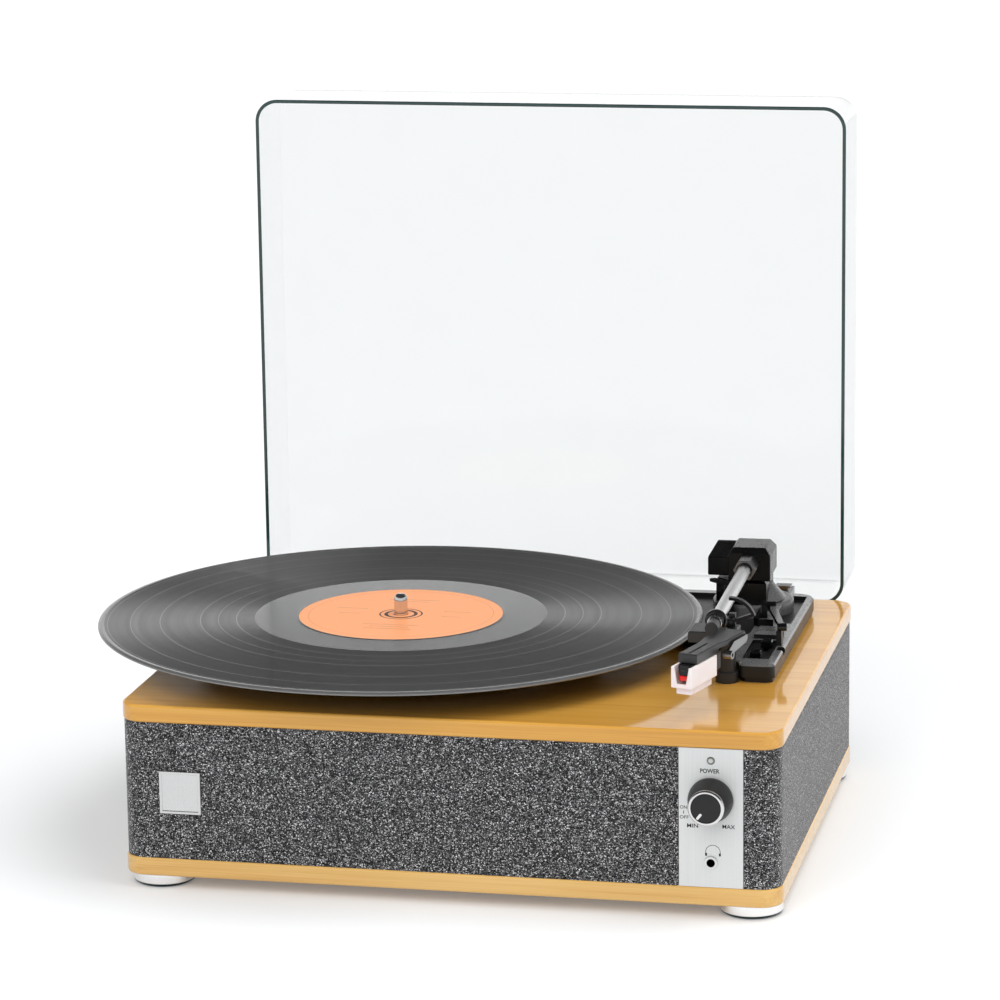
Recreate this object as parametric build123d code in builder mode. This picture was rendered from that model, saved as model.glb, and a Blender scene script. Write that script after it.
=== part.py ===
from build123d import *
import os
from math import cos, radians, sin

# Driving dimensions in millimetres, angles in degrees
# Places are given from the centre of the cabinet: x to the right, y to the back
# Heights called "over the deck" are counted from the top of the wooden top panel

# Cabinet
cabinet_w = 318.2
cabinet_d = 258.5
cabinet_corner_r = 11.0
foot_h = 6.5
bottom_panel_t = 9.0
band_h = 66.9
top_panel_t = 8.5
panel_edge_r = 1.2
cloth_inset = 0.6
cloth_t = 0.9
frame_wall_t = 11.0
overrun = 2.0
slip_gap = 0.1
run_gap = 0.3

# Feet
foot_r = 14.9
foot_in_x = 16.1
foot_in_y = 17.0
pad_h = 1.5
pad_r = 13.4
foot_edge_r = 0.9
foot_screw_r = 2.0
foot_screw_head_r = 3.8
foot_screw_head_h = 2.2
foot_screw_bite = 7.0

# Speakers
speaker_x = 75.0
speaker_flange_r = 29.0
speaker_flange_t = 2.0
speaker_cut_r = 24.0
speaker_basket_d = 14.0
speaker_back_r = 13.0
speaker_seat_d = 1.4
speaker_seat_w = 1.8
speaker_magnet_r = 16.0
speaker_magnet_d = 12.0
speaker_cone_t = 0.7
speaker_cone_d = 9.0
speaker_dome_r = 8.0

# Control panel on the front
panel_x = 126.4
panel_w = 30.2
panel_t = 1.2
panel_edge_gap = 0.25
panel_window_lip = 3.0
led_below_top = 5.8
led_r = 1.8
led_flange = 0.6
led_rise = 0.5
led_body = 5.0
knob_over_middle = 9.05
knob_base_r = 10.9
knob_face_r = 9.1
knob_len = 15.0
knob_ring_len = 1.6
knob_ring_w = 1.5
knob_ring_chamfer = 0.7
knob_gap = 0.5
knob_skirt_len = 2.4
knob_wall = 2.2
knob_cavity = 5.0
knob_recess = 0.4
knob_mark_w = 1.1
knob_mark_len = 5.6
knob_mark_depth = 0.3
knob_mark_turn = 218.0
knob_shaft_r = 3.0
knob_shaft_depth = 6.0
shaft_gap = 0.05
pot_bush_r = 4.6
pot_bush_len = 4.4
pot_w = 17.0
pot_d = 8.0
jack_up = 12.0
jack_bore_r = 1.8
jack_bezel_r = 3.2
jack_bezel_t = 0.8
jack_barrel_r = 2.9
jack_body_w = 9.0
jack_body_d = 14.0
jack_bore_len = 12.5

# Badge on the front
badge_x = -129.1
badge_under_middle = 0.45
badge_w = 20.2
badge_h = 20.8
badge_t = 1.1
badge_border = 1.3
badge_relief = 0.4

# Rear panel and its sockets
rear_w = 120.0
rear_h = 50.0
rear_t = 1.5
rear_lip = 6.0
rear_corner_r = 4.0
line_jack_x = -32.0
line_jack_pitch = 16.0
line_jack_r = 4.2
line_jack_len = 9.0
line_jack_bore_r = 1.7
line_jack_flange_r = 6.0
line_jack_flange_t = 1.5
line_jack_stud_r = 3.4
line_jack_stud_len = 9.0
line_jack_nut_r = 5.2
line_jack_nut_t = 2.4
line_jack_bore_len = 8.0
dc_x = 36.0
dc_w = 11.0
dc_d = 13.0
dc_neck_r = 4.4
dc_bore_r = 3.2
dc_pin_r = 1.0
dc_bore_depth = 9.5
dc_pin_len = 9.0

# Main board
board_x = 92.0
board_y = 40.0
board_w = 84.0
board_len = 62.0
board_t = 1.6
board_lift = 7.0
standoff_r = 3.0
standoff_in = 5.0
sink_w = 26.0
sink_d = 12.0
sink_h = 18.0
capacitor_r = 5.0
capacitor_h = 14.0

# Record, platter and spindle
platter_x = -51.6
platter_y = 2.75
record_r = 150.8
record_t = 1.95
record_rim_r = 0.7
record_bore_r = 3.62
record_label_r = 51.0
record_label_t = 0.12
record_seat_gap = 0.1
mat_r = 98.0
mat_t = 2.5
mat_bore_r = 4.5
platter_r = 100.0
platter_h = 9.0
platter_web_t = 3.0
platter_rim_w = 4.0
platter_lift = 2.2
drum_r = 62.0
platter_edge_r = 0.8
drum_w = 2.5
hub_r = 9.0
hub_gap = 0.03
spindle_r = 3.4
spindle_seat_r = 3.6
spindle_rise = 10.5
spindle_tip_r = 1.6
spindle_collar_r = 8.0
spindle_collar_t = 1.4
bush_r = 7.0
bush_rise = 0.5
bush_below = 12.0
bush_floor = 2.0
bush_flange_r = 12.0
bush_flange_t = 2.5

# Motor, pulley and belt
motor_reach = 80.0
motor_angle = 215.0
motor_r = 16.0
motor_h = 20.0
motor_bracket_w = 54.0
motor_bracket_d = 40.0
motor_bracket_t = 1.4
motor_opening_r = 7.0
pulley_r = 3.1
pulley_flange_r = 4.5
pulley_flange_t = 0.7
pulley_lift = 1.6
pulley_groove = 4.2
motor_shaft_r = 1.0
motor_shaft_depth = 12.0
motor_boss_r = 4.0
motor_edge_r = 1.2
motor_corner_r = 5.0
belt_w = 3.4
belt_t = 0.7
belt_gap = 0.12

# Tonearm base plate
pivot_x = 115.0
pivot_y = 75.5
base_right = 143.0
base_front_out = 1.3
base_back = 103.7
base_left = 72.0
base_h = 9.0
base_nose_left = 125.4
base_nose_len = 8.0
base_waist_left = 112.5
base_waist_back = -2.0
base_turret_len = 68.0
base_corner_r = 3.5
base_back_corner_r = 9.0
base_plinth_h = 2.4
base_plinth_in = 1.2
base_edge = 0.8
switch_bed_w = 13.2
switch_bed_len = 36.0
switch_bed_y = -30.0
switch_bed_right_in = 4.3
switch_bed_depth = 1.6
rear_bed_front = 40.0
rear_bed_in = 3.6
rear_bed_back_in = 6.5
rear_bed_depth = 2.0
round_bed_right = 122.0
round_bed_front = 10.8
round_bed_depth = 1.6
round_bed_corner_r = 10.0
notch_y = -9.5
notch_len = 6.5
notch_w = 3.4
notch_depth = 2.6
block_front = 8.2
block_len = 13.0
block_h = 3.6
block_chamfer = 1.4
cue_stop_x = 139.6
cue_stop_y = -1.6
cue_stop_w = 2.6
cue_stop_len = 4.4

# Sliding switches
switch_slot_w = 2.6
switch_slot_depth = 4.6
switch_stem_len = 3.0
switch_travel = 6.0
switch_cap_w = 5.4
switch_cap_len = 5.0
switch_cap_h = 3.4
switch_stem_depth = 3.8
switch_edge = 0.5
speed_switch_x = 131.2
speed_switch_y = -22.6
stop_switch_x = 133.6
stop_switch_y = -1.8

# Pedestal and skirt under the arm
pedestal_left = 97.4
pedestal_right = 124.0
pedestal_front = 58.9
pedestal_back = 83.0
pedestal_top = 25.2
pedestal_bevel = 7.0
pedestal_edge = 1.0
skirt_r = 20.5
skirt_h = 6.5
skirt_edge_r = 1.6
skirt_cone_r = 16.5
skirt_cone_top_r = 9.8
skirt_cone_h = 8.0
tongue_left = 121.4
tongue_right = 131.6
tongue_front = 31.5
tongue_h = 4.0
tongue_chamfer = 2.6
cue_lug_w = 2.8
cue_lug_len = 6.0
cue_lug_over = 2.2

# Yoke that turns in the pedestal and carries the arm
yoke_w = 10.0
yoke_len = 8.0
yoke_gap = 0.4
yoke_top = 40.0
yoke_shaft_r = 3.0
yoke_shaft_len = 16.0
pin_r = 1.5
pin_gap = 0.05
pin_len = 18.4

# Tonearm
arm_turn = 1.3
arm_h = 35.5
head_left = 104.6
head_right = 126.0
head_front = 55.7
head_back = 82.5
head_bottom = 27.6
head_top = 43.2
head_bevel_w = 2.6
head_bevel_h = 4.0
head_front_bevel = 1.3
head_front_bevel_h = 2.8
head_back_bevel = 4.5
head_back_drop = 4.0
apron_bottom = 26.2
apron_t = 2.2
wing_left = 93.7
wing_front = 60.7
wing_top = 36.8
wing_rise = 5.2
wing_slope_len = 12.0
wing_bevel = 3.0
cavity_w = 11.0
cavity_front_in = 10.0
cavity_back_in = 1.2
cavity_top = 41.6
collar_across = 9.8
collar_len = 16.0
collar_bore_r = 3.9
collar_bore_depth = 3.0
tube_r = 3.25
tube_wall = 0.6
tube_reach = 136.0
tube_root = 12.0
ring_r = 5.3
ring_len = 2.6
ring_edge = 0.5
ring_nut_r = 3.5
ring_nut_len = 5.0
neck_r = 2.3
neck_len = 14.0

# Headshell, measured from the middle of its front edge
shell_left = 4.845
shell_out = 62.04
shell_angle = -15.5
shell_top = 34.5
shell_front_w = 9.6
shell_front_len = 24.0
shell_front_t = 4.5
shell_rear_w = 12.2
shell_rear_len = 27.0
shell_rear_t = 2.6
shell_slot_w = 0.9
shell_slot_len = 20.0
shell_slot_depth = 1.0
shell_slot_in = 1.5
shell_widen = 7.0
coupling_r = 3.1
coupling_right = 6.4
coupling_len = 8.0
coupling_in = 4.0
shell_edge = 0.4
cartridge_w = 6.8
cartridge_len = 27.0
cartridge_front_in = 2.2
cartridge_h = 5.6
cartridge_rear_len = 11.0
cartridge_rear_h = 8.6
stylus_w = 4.4
stylus_len = 14.0
stylus_h = 2.8
stylus_front_in = 1.7
needle_r = 0.35
needle_len = 3.2
needle_in = 5.0
guard_w = 10.4
guard_len = 28.0
guard_front_in = -7.0
guard_bottom = 16.15
guard_wall = 1.1
guard_slot_w = 4.6
guard_slot_top_w = 7.6
guard_slot_floor = 21.6
guard_step_h = 3.6
guard_step_len = 3.0
guard_step_w = 1.3
guard_gap = 0.3
lift_root = 50.5
lift_flat = 15.0
lift_len = 8.0
lift_w = 1.4
lift_t = 1.1
lift_drop = 4.2
lift_curl_r = 2.0
lift_curl_w = 4.2
lift_h = 3.4
lift_tip_h = 2.2
lift_corner = 1.4

# Arm rest
rest_x = 119.9
rest_from_end = 19.8
rest_foot_r = 5.6
rest_foot_h = 5.4
rest_post_r = 4.4
rest_table_left = 103.6
rest_table_right = 126.4
rest_table_len = 17.6
rest_table_fore = 7.4
rest_table_top = 28.2
rest_table_t = 5.4
rest_saddle_w = 8.4
rest_saddle_len = 6.0
rest_seat_gap = 0.3
rest_lug_x = 122.8
rest_lug_w = 3.2
rest_lug_len = 3.0
rest_lug_h = 6.2
rest_edge = 0.5
clip_h = 31.0
clip_pin_r = 0.8
clip_hub_r = 1.9
clip_inner_r = 10.7
clip_t = 1.4
clip_w = 3.2
clip_bar_w = 1.5
clip_from = 20.0
clip_to = 95.0

# Cue lever and lift
cue_x = 129.9
cue_y = 37.1
cue_h = 18.5
cue_len = 42.5
cue_angle = 15.3
cue_w = 4.2
cue_tip_w = 2.6
cue_t = 2.2
cue_knob_r = 2.0
cue_knob_len = 4.4
cue_hub_r = 2.4
cue_pin_r = 1.0
cue_side_gap = 0.3
cue_lift_r = 25.5
cue_lift_w = 3.2
cue_lift_t = 1.6
cue_lift_top = 26.7
cue_lift_from = -3.0
cue_lift_to = 46.0
front_angle = -90.0
cue_plunger_r = 2.4
cue_plunger_at = 20.0
cue_plunger_in = 4.4
cue_bore_depth = 5.0

# Lid
lid_w = 310.0
lid_h = 259.5
lid_depth = 49.0
lid_x = -1.2
lid_wall = 1.8
lid_corner_r = 11.6
lid_back_gap = 1.0
lid_below = 3.2
lid_back_r = 4.0
lid_rim_r = 0.5
lid_notch_len = 3.0

# Lid hinges
hinge_x = 122.0
hinge_r = 1.6
hinge_pin_r = 0.8
hinge_side_gap = 0.15
hinge_in = 0.9
hinge_below = 1.0
hinge_ear_w = 5.0
hinge_mid_w = 8.0
hinge_leaf_h = 22.0
hinge_leaf_t = 1.2
hinge_web_t = 1.6
hinge_plate_len = 12.0
hinge_plate_t = 1.8
hinge_plate_up = 0.7
hinge_plate_w = 8.0
hinge_neck_w = 5.0
hinge_neck_len = 3.0
hinge_cap_w = 8.0
hinge_cap_len = 6.5
hinge_cap_t = 0.9
hinge_cap_up = 6.0
hinge_notch_gap = 0.6
hinge_screw_r = 1.4
hinge_screw_head_r = 2.4
hinge_screw_head_t = 1.1
hinge_screw_len = 8.0
hinge_screw_gap = 0.05
hinge_screw_out = 5.6
hinge_screw_upper = 5.4
hinge_screw_lower = 17.0

# Levels and places that follow from the sizes above
deck = foot_h + bottom_panel_t + band_h + top_panel_t
band_bottom = foot_h + bottom_panel_t
band_top = band_bottom + band_h
band_middle = band_bottom + band_h / 2
led_z = band_top - led_below_top
knob_z = band_middle + knob_over_middle
jack_z = band_bottom + jack_up
badge_z = band_middle - badge_under_middle
left_end = platter_x - record_r
right_end = cabinet_w / 2
front_end = platter_y - record_r
back_end = cabinet_d / 2 + lid_back_gap + lid_depth
centre_x = -(left_end + right_end) / 2
centre_y = -(front_end + back_end) / 2

front_face = -cabinet_d / 2
cloth_face = front_face + cloth_inset
frame_face = cloth_face + cloth_t
panel_face = frame_face - panel_t
frame_w = cabinet_w - 2 * (cloth_inset + cloth_t)
frame_d = cabinet_d - 2 * (cloth_inset + cloth_t)
frame_corner_r = cabinet_corner_r - cloth_inset - cloth_t
foot_x = cabinet_w / 2 - foot_in_x
foot_y = cabinet_d / 2 - foot_in_y

platter_bottom = deck + platter_lift
platter_top = platter_bottom + platter_h
mat_top = platter_top + mat_t
record_bottom = mat_top + record_seat_gap
record_top = record_bottom + record_t
bush_bottom = deck - top_panel_t - bush_below
spindle_bottom = bush_bottom + bush_floor
spindle_top = record_top + spindle_rise

motor_x = platter_x + motor_reach * cos(radians(motor_angle))
motor_y = platter_y + motor_reach * sin(radians(motor_angle))
belt_bottom = deck + pulley_lift + pulley_flange_t + (pulley_groove - belt_w) / 2

hinge_y = cabinet_d / 2 - hinge_in
hinge_z = deck - hinge_below
lid_bottom = deck - lid_below
hinge_leaf_w = hinge_mid_w + 2 * (hinge_ear_w + hinge_side_gap)
hinge_notch_w = hinge_leaf_w + 2 * hinge_notch_gap
hinge_notch_r = hinge_r + hinge_notch_gap

arm_frame = (pivot_x, pivot_y, arm_turn)
cue_frame = (cue_x, cue_y, cue_angle)
rest_y = pivot_y - tube_reach + rest_from_end
base_front = rest_y - base_front_out
rear_bed_h = base_h - rear_bed_depth
switch_bed_h = base_h - switch_bed_depth
shell_front_bottom = shell_top - shell_front_t
shell_rear_bottom = shell_top - shell_rear_t


os.makedirs("parts", exist_ok=True)


def level(z, x=0, y=0, turn=0):
    """A horizontal plane at height z over (x, y), turned about the vertical."""
    across = (cos(radians(turn)), sin(radians(turn)), 0)
    return Plane(origin=(centre_x + x, centre_y + y, z), x_dir=across, z_dir=(0, 0, 1))


def facing_front(y, x=0, z=0):
    """An upright plane that faces the front: local x to the right, local y up."""
    return Plane(origin=(centre_x + x, centre_y + y, z), x_dir=(1, 0, 0), z_dir=(0, -1, 0))


def facing_back(y, x=0, z=0):
    """An upright plane that faces the back: local x to the left, local y up."""
    return Plane(origin=(centre_x + x, centre_y + y, z), x_dir=(-1, 0, 0), z_dir=(0, 1, 0))


def facing_right(x, y=0, z=0):
    """An upright plane that faces right: local x to the back, local y up."""
    return Plane(origin=(centre_x + x, centre_y + y, z), x_dir=(0, 1, 0), z_dir=(1, 0, 0))


def shifted(x, y, turn, across, back):
    """A place given across and back in a frame at (x, y) turned about the vertical."""
    angle = radians(turn)
    new_x = x + across * cos(angle) - back * sin(angle)
    new_y = y + across * sin(angle) + back * cos(angle)
    return new_x, new_y


shell_x, shell_y = shifted(*arm_frame, -shell_left, -(tube_reach + shell_out))
shell_frame = (shell_x, shell_y, shell_angle)


def flat_plane(h, x, y, turn, across=0, back=0):
    """A horizontal plane at height h over the deck in a turned frame."""
    new_x, new_y = shifted(x, y, turn, across, back)
    return level(deck + h, new_x, new_y, turn)


def side_plane(x, y, turn, across=0):
    """An upright plane facing right in a turned frame: local x to its back, y over the deck."""
    angle = radians(turn)
    new_x, new_y = shifted(x, y, turn, across, 0)
    return Plane(
        origin=(centre_x + new_x, centre_y + new_y, deck),
        x_dir=(-sin(angle), cos(angle), 0),
        z_dir=(cos(angle), sin(angle), 0),
    )


def front_plane(x, y, turn, back=0, h=0):
    """An upright plane facing the front of a turned frame: local y over height h."""
    angle = radians(turn)
    new_x, new_y = shifted(x, y, turn, 0, back)
    return Plane(
        origin=(centre_x + new_x, centre_y + new_y, deck + h),
        x_dir=(cos(angle), sin(angle), 0),
        z_dir=(sin(angle), -cos(angle), 0),
    )


def across_arm(reach):
    """The plane across the arm at a distance from its pivot, facing its front end."""
    return front_plane(*arm_frame, back=-reach, h=arm_h)


def finish(piece, name):
    """Label a finished piece and write its STEP file."""
    piece.part.label = name
    export_step(piece.part, "parts/" + name + ".step")


# Wooden panels

with BuildPart() as bottom_panel:
    with BuildSketch(level(foot_h)):
        RectangleRounded(cabinet_w, cabinet_d, cabinet_corner_r)
    extrude(amount=bottom_panel_t)
    rims = bottom_panel.edges().group_by(Axis.Z)
    fillet(rims[0] + rims[-1], panel_edge_r)
    with BuildSketch(level(foot_h)):
        with GridLocations(2 * foot_x, 2 * foot_y, 2, 2):
            Circle(foot_screw_r + slip_gap / 2)
    extrude(amount=foot_screw_bite + overrun / 2, mode=Mode.SUBTRACT)
finish(bottom_panel, "bottom_panel")

with BuildPart() as top_panel:
    with BuildSketch(level(deck - top_panel_t)):
        RectangleRounded(cabinet_w, cabinet_d, cabinet_corner_r)
    extrude(amount=top_panel_t)
    rims = top_panel.edges().group_by(Axis.Z)
    fillet(rims[0] + rims[-1], panel_edge_r)
    with BuildSketch(level(deck - top_panel_t - overrun, platter_x, platter_y)):
        Circle(bush_r + slip_gap)
    with BuildSketch(level(deck - top_panel_t - overrun, motor_x, motor_y)):
        Circle(motor_opening_r)
    extrude(amount=top_panel_t + 2 * overrun, mode=Mode.SUBTRACT)
    for side in (-1, 1):
        with BuildSketch(level(deck + overrun, side * hinge_x, hinge_y)):
            with Locations((0, hinge_in)):
                Rectangle(hinge_notch_w, 2 * (hinge_in + hinge_notch_r))
        extrude(amount=-(overrun + hinge_below + hinge_notch_r), mode=Mode.SUBTRACT)
        with BuildSketch(facing_back(cabinet_d / 2, side * hinge_x, hinge_z - hinge_screw_upper)):
            with GridLocations(2 * hinge_screw_out, 0, 2, 1):
                Circle(hinge_screw_r + hinge_screw_gap)
        extrude(amount=-hinge_screw_len, mode=Mode.SUBTRACT)
finish(top_panel, "top_panel")

# Frame behind the fabric, open to the speakers, the controls and the sockets

with BuildPart() as cabinet_frame:
    with BuildSketch(level(band_bottom)):
        RectangleRounded(frame_w, frame_d, frame_corner_r)
        Rectangle(frame_w - 2 * frame_wall_t, frame_d - 2 * frame_wall_t, mode=Mode.SUBTRACT)
    extrude(amount=band_h)
    with BuildSketch(facing_front(frame_face - overrun, 0, band_middle)):
        with Locations((-speaker_x, 0), (speaker_x - panel_w / 2, 0)):
            Circle(speaker_cut_r)
    extrude(amount=-(frame_wall_t + 2 * overrun), mode=Mode.SUBTRACT)
    with BuildSketch(facing_front(frame_face - overrun, panel_x, band_middle)):
        Rectangle(panel_w - 2 * panel_window_lip, band_h - 2 * panel_window_lip)
    extrude(amount=-(frame_wall_t + 2 * overrun), mode=Mode.SUBTRACT)
    with BuildSketch(facing_back(frame_d / 2 + overrun, 0, band_middle)):
        Rectangle(rear_w - 2 * rear_lip, rear_h - 2 * rear_lip)
    extrude(amount=-(frame_wall_t + 2 * overrun), mode=Mode.SUBTRACT)
    with BuildSketch(facing_back(cabinet_d / 2, 0, hinge_z - hinge_screw_lower)):
        with GridLocations(2 * hinge_x, 0, 2, 1):
            Circle(hinge_screw_r + hinge_screw_gap)
    extrude(amount=-hinge_screw_len, mode=Mode.SUBTRACT)
finish(cabinet_frame, "cabinet_frame")

with BuildPart() as grille_cloth:
    with BuildSketch(level(band_bottom)):
        RectangleRounded(frame_w + 2 * cloth_t, frame_d + 2 * cloth_t, frame_corner_r + cloth_t)
        RectangleRounded(frame_w, frame_d, frame_corner_r, mode=Mode.SUBTRACT)
    extrude(amount=band_h)
    with BuildSketch(facing_front(frame_face, panel_x, band_middle)):
        Rectangle(panel_w + 2 * panel_edge_gap, band_h + 2 * overrun)
    extrude(amount=cloth_t + overrun, mode=Mode.SUBTRACT)
    with BuildSketch(facing_back(frame_d / 2, 0, band_middle)):
        RectangleRounded(rear_w + 2 * panel_edge_gap, rear_h + 2 * panel_edge_gap, rear_corner_r)
    extrude(amount=cloth_t + overrun, mode=Mode.SUBTRACT)
    with BuildSketch(facing_back(frame_d / 2 - cloth_t, 0, hinge_z - hinge_screw_lower)):
        with GridLocations(2 * hinge_x, 0, 2, 1):
            Circle(hinge_screw_r + hinge_screw_gap)
    extrude(amount=cloth_t + overrun, mode=Mode.SUBTRACT)
finish(grille_cloth, "grille_cloth")

# Feet: a plated cup, a rubber pad and a screw up into the bottom panel

foot_places = {
    "front_left": (-foot_x, -foot_y),
    "front_right": (foot_x, -foot_y),
    "back_left": (-foot_x, foot_y),
    "back_right": (foot_x, foot_y),
}
for corner, (x, y) in foot_places.items():
    with BuildPart() as foot_cup:
        with BuildSketch(level(pad_h, x, y)):
            Circle(foot_r)
        extrude(amount=foot_h - pad_h)
        fillet(foot_cup.edges().group_by(Axis.Z)[0], foot_edge_r)
        with BuildSketch(level(pad_h, x, y)):
            Circle(foot_screw_head_r + slip_gap)
        extrude(amount=foot_screw_head_h, mode=Mode.SUBTRACT)
        with BuildSketch(level(pad_h, x, y)):
            Circle(foot_screw_r + slip_gap)
        extrude(amount=foot_h, mode=Mode.SUBTRACT)
    finish(foot_cup, "foot_" + corner)

with BuildPart() as foot_pads:
    with BuildSketch(level(0)):
        with GridLocations(2 * foot_x, 2 * foot_y, 2, 2):
            Circle(pad_r)
    extrude(amount=pad_h)
finish(foot_pads, "foot_pads")

with BuildPart() as foot_screws:
    with BuildSketch(level(pad_h)):
        with GridLocations(2 * foot_x, 2 * foot_y, 2, 2):
            Circle(foot_screw_head_r)
    extrude(amount=foot_screw_head_h)
    with BuildSketch(level(pad_h)):
        with GridLocations(2 * foot_x, 2 * foot_y, 2, 2):
            Circle(foot_screw_r)
    extrude(amount=foot_h - pad_h + foot_screw_bite)
finish(foot_screws, "foot_screws")

# Speakers: a basket with its magnet and a paper cone, one on each side

speaker_face = frame_face + frame_wall_t
for side, x in (("left", -speaker_x), ("right", speaker_x - panel_w / 2)):
    basket_back = speaker_basket_d - speaker_flange_t
    with BuildPart() as speaker_frame:
        with BuildSketch(facing_right(x, speaker_face, band_middle)):
            with BuildLine():
                Polyline(
                    (0, speaker_cut_r),
                    (0, speaker_flange_r),
                    (speaker_flange_t, speaker_flange_r),
                    (speaker_flange_t, speaker_cut_r + speaker_flange_t),
                    (speaker_basket_d, speaker_magnet_r),
                    (speaker_basket_d + speaker_magnet_d, speaker_magnet_r),
                    (speaker_basket_d + speaker_magnet_d, 0),
                    (basket_back, 0),
                    (basket_back, speaker_back_r - speaker_flange_t),
                    (speaker_seat_d, speaker_cut_r - speaker_seat_w),
                    (speaker_seat_d, speaker_cut_r),
                    close=True,
                )
            make_face()
        revolve(axis=Axis((centre_x + x, centre_y, band_middle), (0, 1, 0)))
    finish(speaker_frame, "speaker_frame_" + side)

    cone_rim_r = speaker_cut_r - slip_gap
    cone_throat = speaker_cone_d - speaker_cone_t
    with BuildPart() as speaker_cone:
        with BuildSketch(facing_right(x, speaker_face, band_middle)):
            with BuildLine():
                Polyline(
                    (speaker_seat_d - speaker_cone_t, cone_rim_r),
                    (speaker_seat_d, cone_rim_r),
                    (speaker_seat_d, cone_rim_r - speaker_seat_w - speaker_cone_t),
                    (speaker_cone_d, speaker_dome_r),
                    (speaker_cone_d, 0),
                    (cone_throat, 0),
                    (cone_throat, speaker_dome_r - speaker_cone_t),
                    (speaker_seat_d - speaker_cone_t, cone_rim_r - speaker_seat_w - speaker_cone_t),
                    close=True,
                )
            make_face()
        revolve(axis=Axis((centre_x + x, centre_y, band_middle), (0, 1, 0)))
    finish(speaker_cone, "speaker_cone_" + side)

# Control panel with its lamp, volume control and headphone socket

with BuildPart() as control_panel:
    with BuildSketch(facing_front(frame_face, panel_x, band_middle)):
        Rectangle(panel_w, band_h)
        with Locations((0, led_z - band_middle)):
            Circle(led_r + shaft_gap, mode=Mode.SUBTRACT)
        with Locations((0, knob_z - band_middle)):
            Circle(pot_bush_r + shaft_gap, mode=Mode.SUBTRACT)
        with Locations((0, jack_z - band_middle)):
            Circle(jack_barrel_r + shaft_gap, mode=Mode.SUBTRACT)
    extrude(amount=panel_t)
finish(control_panel, "control_panel")

with BuildPart() as power_led:
    with BuildSketch(facing_front(panel_face, panel_x, led_z)):
        Circle(led_r)
    extrude(amount=led_rise)
    fillet(power_led.edges().group_by(Axis.Y)[0], led_rise * 0.8)
    with BuildSketch(facing_front(panel_face, panel_x, led_z)):
        Circle(led_r)
    extrude(amount=-led_body)
    with BuildSketch(facing_front(frame_face, panel_x, led_z)):
        Circle(led_r + led_flange)
    extrude(amount=-led_flange)
finish(power_led, "power_led")

with BuildPart() as volume_pot:
    with BuildSketch(facing_front(frame_face, panel_x, knob_z)):
        Rectangle(pot_w, pot_w)
    extrude(amount=-pot_d)
    with BuildSketch(facing_front(frame_face, panel_x, knob_z)):
        Circle(pot_bush_r)
    extrude(amount=pot_bush_len)
    with BuildSketch(facing_front(frame_face - pot_bush_len, panel_x, knob_z)):
        Circle(knob_shaft_r + shaft_gap)
    extrude(amount=-(pot_bush_len + knob_shaft_depth), mode=Mode.SUBTRACT)
finish(volume_pot, "volume_pot")

knob_front = knob_len - knob_ring_len
ring_in_r = knob_face_r - knob_ring_w
with BuildPart() as volume_knob:
    with BuildSketch(facing_right(panel_x, panel_face, knob_z)):
        with BuildLine():
            Polyline(
                (-knob_gap, knob_base_r),
                (-knob_skirt_len, knob_base_r),
                (-knob_front, knob_face_r),
                (-knob_front, ring_in_r),
                (-(knob_len - knob_recess), ring_in_r),
                (-(knob_len - knob_recess), 0),
                (knob_shaft_depth - slip_gap, 0),
                (knob_shaft_depth - slip_gap, knob_shaft_r),
                (-knob_cavity, knob_shaft_r),
                (-knob_cavity, knob_base_r - knob_wall),
                (-knob_gap, knob_base_r - knob_wall),
                close=True,
            )
        make_face()
    revolve(axis=Axis((centre_x + panel_x, centre_y, knob_z), (0, 1, 0)))
    with BuildSketch(facing_front(panel_face - knob_len + knob_recess, panel_x, knob_z)):
        with PolarLocations(ring_in_r - knob_mark_len / 2, 1, knob_mark_turn):
            Rectangle(knob_mark_len, knob_mark_w)
    extrude(amount=-knob_mark_depth, mode=Mode.SUBTRACT)
finish(volume_knob, "volume_knob")

with BuildPart() as knob_ring:
    with BuildSketch(facing_front(panel_face - knob_front, panel_x, knob_z)):
        Circle(knob_face_r)
        Circle(ring_in_r + hub_gap, mode=Mode.SUBTRACT)
    extrude(amount=knob_ring_len)
    front_rim = knob_ring.edges().group_by(Axis.Y)[0].sort_by(SortBy.RADIUS)[-1]
    chamfer(front_rim, knob_ring_chamfer)
finish(knob_ring, "knob_ring")

with BuildPart() as headphone_jack:
    with BuildSketch(facing_front(panel_face, panel_x, jack_z)):
        Circle(jack_bezel_r)
    extrude(amount=jack_bezel_t)
    with BuildSketch(facing_front(panel_face, panel_x, jack_z)):
        Circle(jack_barrel_r)
    extrude(amount=-panel_t)
    with BuildSketch(facing_front(frame_face, panel_x, jack_z)):
        Rectangle(jack_body_w, jack_body_w)
    extrude(amount=-jack_body_d)
    with BuildSketch(facing_front(panel_face - jack_bezel_t, panel_x, jack_z)):
        Circle(jack_bore_r)
    extrude(amount=-jack_bore_len, mode=Mode.SUBTRACT)
finish(headphone_jack, "headphone_jack")

with BuildPart() as badge_plate:
    with BuildSketch(facing_front(cloth_face, badge_x, badge_z)):
        Rectangle(badge_w, badge_h)
    extrude(amount=badge_t)
    with BuildSketch(facing_front(cloth_face - badge_t, badge_x, badge_z)):
        Rectangle(badge_w - 2 * badge_border, badge_h - 2 * badge_border)
    extrude(amount=-badge_relief, mode=Mode.SUBTRACT)
finish(badge_plate, "badge_plate")

# Rear panel, power inlet and line sockets

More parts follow.
